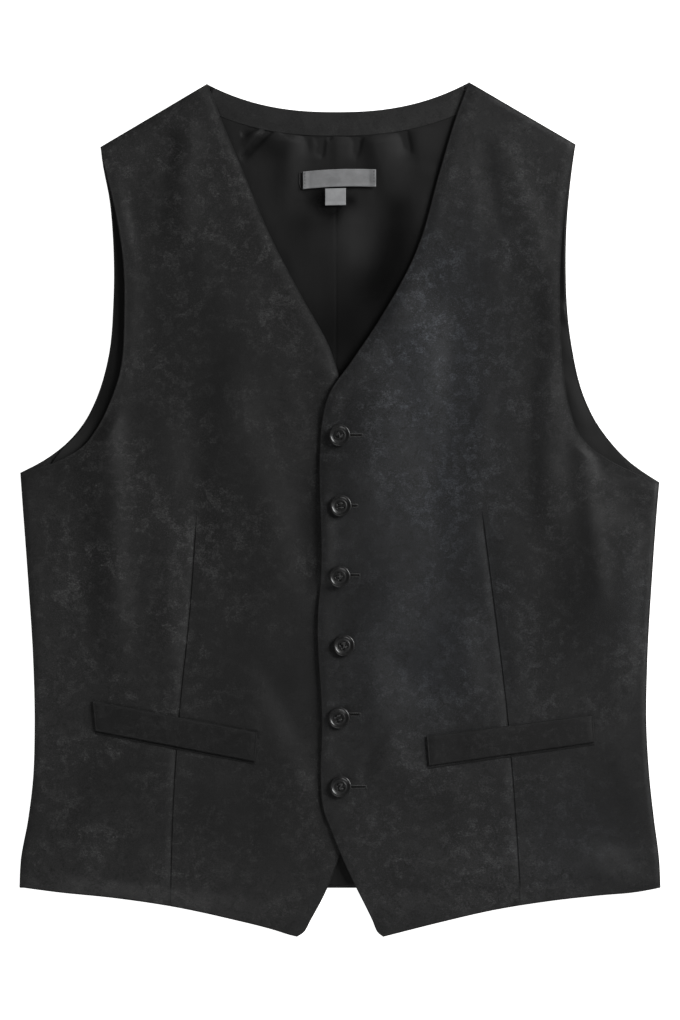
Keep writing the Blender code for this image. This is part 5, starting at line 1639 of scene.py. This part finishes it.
@dataclass
class NeckLabel:
    """The bare grey label, sewn at its two ends, and the small tab that hangs from it."""

    width: float = 54.8
    depth: float = 13.2
    centre: Spot = Spot(-0.4, 247.8)
    slant: float = 0.03
    bow: float = 4.0
    arch: float = 1.4
    ribbon: float = 0.55
    tab_width: float = 15.5
    tab_depth: float = 12.6
    tab_centre: Spot = Spot(-3.4, 234.6)
    tab_fold: float = 3.0

    def under(self, across: Array) -> Array:
        """The label's underside: the lining's highest point across it, plus an arch between its sewn ends."""
        rows = np.linspace(self.tab_centre.up - self.tab_depth / 2, self.centre.up + 9.0, 14)
        ground = LIE.lining_top(across[..., None], rows).max(-1)
        share = (across - self.centre.across) / (self.width / 2)
        return ground + 0.45 + self.arch * (1 - share**2).clip(0.0)

    def build(self) -> bpy.types.Object:
        """The ribbon: a strip bowed up the back and arched off it, with its ends turned under."""
        u, w = np.meshgrid(spread(self.width, 1.2, TRIM_STEPS) - 0.5, spread(self.depth, 1.0, TRIM_STEPS) - 0.5)
        across = self.centre.across + u * self.width
        up = (self.centre.up + w * self.depth + self.slant * (across - self.centre.across)
              + (0.25 - u**2) * self.bow)
        from_end = (0.5 - np.abs(u)) * self.width
        near = np.minimum(from_end, (0.5 - np.abs(w)) * self.depth)
        full = rounded(near, 0.27)
        turned = 0.35 * (1 - ease((from_end - 3.0) / 0.8))
        selvedge = 0.10 * np.exp(-((((0.5 - np.abs(w)) * self.depth - 0.8) / 0.45) ** 2))
        curl = 0.55 * ease((np.abs(w) - 0.28) / 0.22) * np.sign(w) * -0.5
        low = self.under(across) + 0.15 + curl
        middle = low + self.ribbon / 2
        parts = MeshParts()
        shell_parts(parts, across, up, middle - self.ribbon / 2 * full,
                    middle + (self.ribbon / 2 + turned + selvedge) * full)
        return parts.build("neck_label_ribbon")

    def build_tab(self) -> bpy.types.Object:
        """The tab: a doubled strip with its fold near the lower edge."""
        u, w = np.meshgrid(spread(self.tab_width, 1.0, TRIM_STEPS) - 0.5, spread(self.tab_depth, 0.8, TRIM_STEPS) - 0.5)
        across = self.tab_centre.across + u * self.tab_width
        up = self.tab_centre.up + w * self.tab_depth + 0.02 * (across - self.tab_centre.across)
        from_low = (w + 0.5) * self.tab_depth
        near = np.minimum((0.5 - np.abs(u)) * self.tab_width, (0.5 - np.abs(w)) * self.tab_depth)
        full = rounded(near, 0.27)
        crease = -0.22 * np.exp(-(((from_low - self.tab_fold) / 0.4) ** 2))
        low = self.under(across) - 0.6 * (0.5 - w) + 0.25
        middle = low + self.ribbon / 2
        parts = MeshParts()
        shell_parts(parts, across, up, middle - self.ribbon / 2 * full,
                    middle + (self.ribbon / 2 + 0.1 + crease) * full)
        return parts.build("size_tab_ribbon")

    def build_stitches(self) -> bpy.types.Object:
        """Short stitches down both ends of the label and the loose thread at its left end."""
        parts = MeshParts()
        for sign in (-1, 1):
            across = self.centre.across + sign * (self.width / 2 - 1.5)
            bow = self.slant * (across - self.centre.across) + (0.25 - 0.473**2) * self.bow
            for row in np.linspace(-4.9, 4.9, 5):
                up = self.centre.up + row + bow + np.linspace(-0.8, 0.8, 9)
                arc = np.sin(np.linspace(0, np.pi, 9))
                height = self.under(np.full(9, across)) + 0.95 + 0.12 * arc
                tube_parts(parts, np.column_stack([np.full(9, across), up, height]), 0.06 + 0.13 * np.sqrt(arc), 6)
        loop = PatternEdge((-27.0, 251.5), (-29.6, 253.2), (-30.4, 248.5), (-29.9, 243.0), (-28.2, 240.6),
                           (-26.6, 241.8)).at(np.linspace(0, 1, 40))
        height = LIE.lining_top(loop[:, 0], loop[:, 1]) + 0.5
        tube_parts(parts, np.column_stack([loop, height]), 0.17, 6)
        return parts.build("neck_label_stitches")

    def dress(self) -> list[bpy.types.Object]:
        """Bare ribbon for both, and black thread."""
        label = dress(self.build(), LabelRibbon("label_ribbon"), "label", "neck_label")
        tab = dress(self.build_tab(), LabelRibbon("tab_ribbon", 0.34), "label", "size_tab")
        stitches = dress(self.build_stitches(), SewingThread("label_thread", 0.012), "label")
        return [label, tab, stitches]


# ------------------------------------------------------------------ studio
@dataclass
class Studio:
    """A pale floor, soft lights and a camera that looks straight down."""

    camera_height: float = 2.5
    frame_height: float = 0.765
    plane_height: float = 0.0015
    key_power: float = 330.0
    fill_power: float = 50.0
    sky: float = 0.085
    paper_glow: float = 0.95

    def floor(self) -> None:
        """A plain white light table just under the garment."""
        half = 6.0
        mesh = bpy.data.meshes.new("studio_floor")
        corners = [(-half, -half, -0.0006), (half, -half, -0.0006), (half, half, -0.0006), (-half, half, -0.0006)]
        mesh.from_pydata(corners, [], [(0, 1, 2, 3)])
        floor = bpy.data.objects.new("studio_floor", mesh)
        bpy.context.scene.collection.objects.link(floor)
        material, bench, shader = new_material("studio_paper")
        cloud = bench.noise(bench.add("TexCoord").outputs["Object"], 3.0, 2.0).outputs["Fac"]
        tone = bench.mix(cloud, (0.93, 0.93, 0.925, 1.0), (0.95, 0.95, 0.945, 1.0))
        bench.tree.links.new(tone, shader.inputs["Base Color"])
        shader.inputs["Roughness"].default_value = 0.9
        shader.inputs["Emission Color"].default_value = (1.0, 1.0, 0.99, 1.0)
        shader.inputs["Emission Strength"].default_value = self.paper_glow
        mesh.materials.append(material)

    def sky_dome(self) -> None:
        """A dim even sky for the light, which the camera sees as white paper."""
        world = bpy.data.worlds.new("studio_sky")
        world.use_nodes = True
        bench = Bench(world.node_tree)
        seen = bench.add("LightPath").outputs["Is Camera Ray"]
        strength = bench.math("MULTIPLY_ADD", seen, 1.0 - self.sky, self.sky)
        background = world.node_tree.nodes["Background"]
        background.inputs[0].default_value = (1.0, 1.0, 1.0, 1.0)
        world.node_tree.links.new(strength, background.inputs[1])
        bpy.context.scene.world = world

    def light(self, name: str, place: tuple[float, float, float], size: float, power: float) -> None:
        """A square soft box that faces the garment's middle.

        Args:
            name: the lamp's name.
            place: where it stands, in metres.
            size: its side in metres.
            power: in watts.
        """
        lamp = bpy.data.lights.new(name, "AREA")
        lamp.shape, lamp.size, lamp.energy = "SQUARE", size, power
        holder = bpy.data.objects.new(name, lamp)
        bpy.context.scene.collection.objects.link(holder)
        away = np.array(place) / np.linalg.norm(place)
        holder.location = place
        holder.rotation_euler = (math.acos(away[2]), 0.0, math.atan2(away[1], away[0]) + math.pi / 2)

    @staticmethod
    def aim(azimuth_deg: float, elevation_deg: float, distance: float) -> tuple[float, float, float]:
        """A place at this azimuth from +X, elevation above the floor and distance in metres."""
        azimuth, elevation = math.radians(azimuth_deg), math.radians(elevation_deg)
        out = distance * math.cos(elevation)
        return out * math.cos(azimuth), out * math.sin(azimuth), distance * math.sin(elevation)

    def build(self) -> None:
        """Floor, sky, lights and camera."""
        scene = bpy.context.scene
        scene.view_settings.view_transform = "Standard"
        self.floor()
        self.sky_dome()
        self.light("key_box", self.aim(30.0, 27.0, 5.0), 2.6, self.key_power)
        self.light("fill_box", self.aim(245.0, 28.0, 4.0), 2.4, self.fill_power)
        lens = bpy.data.cameras.new("straight_down")
        lens.sensor_width = 36.0
        lens.lens = 36.0 * (self.camera_height - self.plane_height) / self.frame_height
        lens.clip_start, lens.clip_end = 0.05, 20.0
        camera = bpy.data.objects.new("straight_down", lens)
        camera.location = (0.0, 0.0, self.camera_height)
        scene.collection.objects.link(camera)
        scene.camera = camera


def main() -> None:
    """Builds every sub-assembly in order, from the back up, and then the studio."""
    logging.basicConfig(level=logging.INFO, format="%(name)s %(message)s")
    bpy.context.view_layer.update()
    Back().dress()
    BackLining().dress()
    NeckFacing().dress()
    NeckLabel().dress()
    for side in Side:
        FrontPanel(side).dress()
        PocketWelt(side).dress()
    resin = ButtonResin().material()
    thread = SewingThread("button_thread", 0.026).material()
    purl = SewingThread("buttonhole_thread", 0.018).material()
    slit = LiningSatin("slit_shadow", 0.002).material()
    for number, place in enumerate(BUTTONS, start=1):
        Button(number, place).dress(resin, thread, purl, slit)
    Studio().build()


if __name__ == "__main__":
    main()
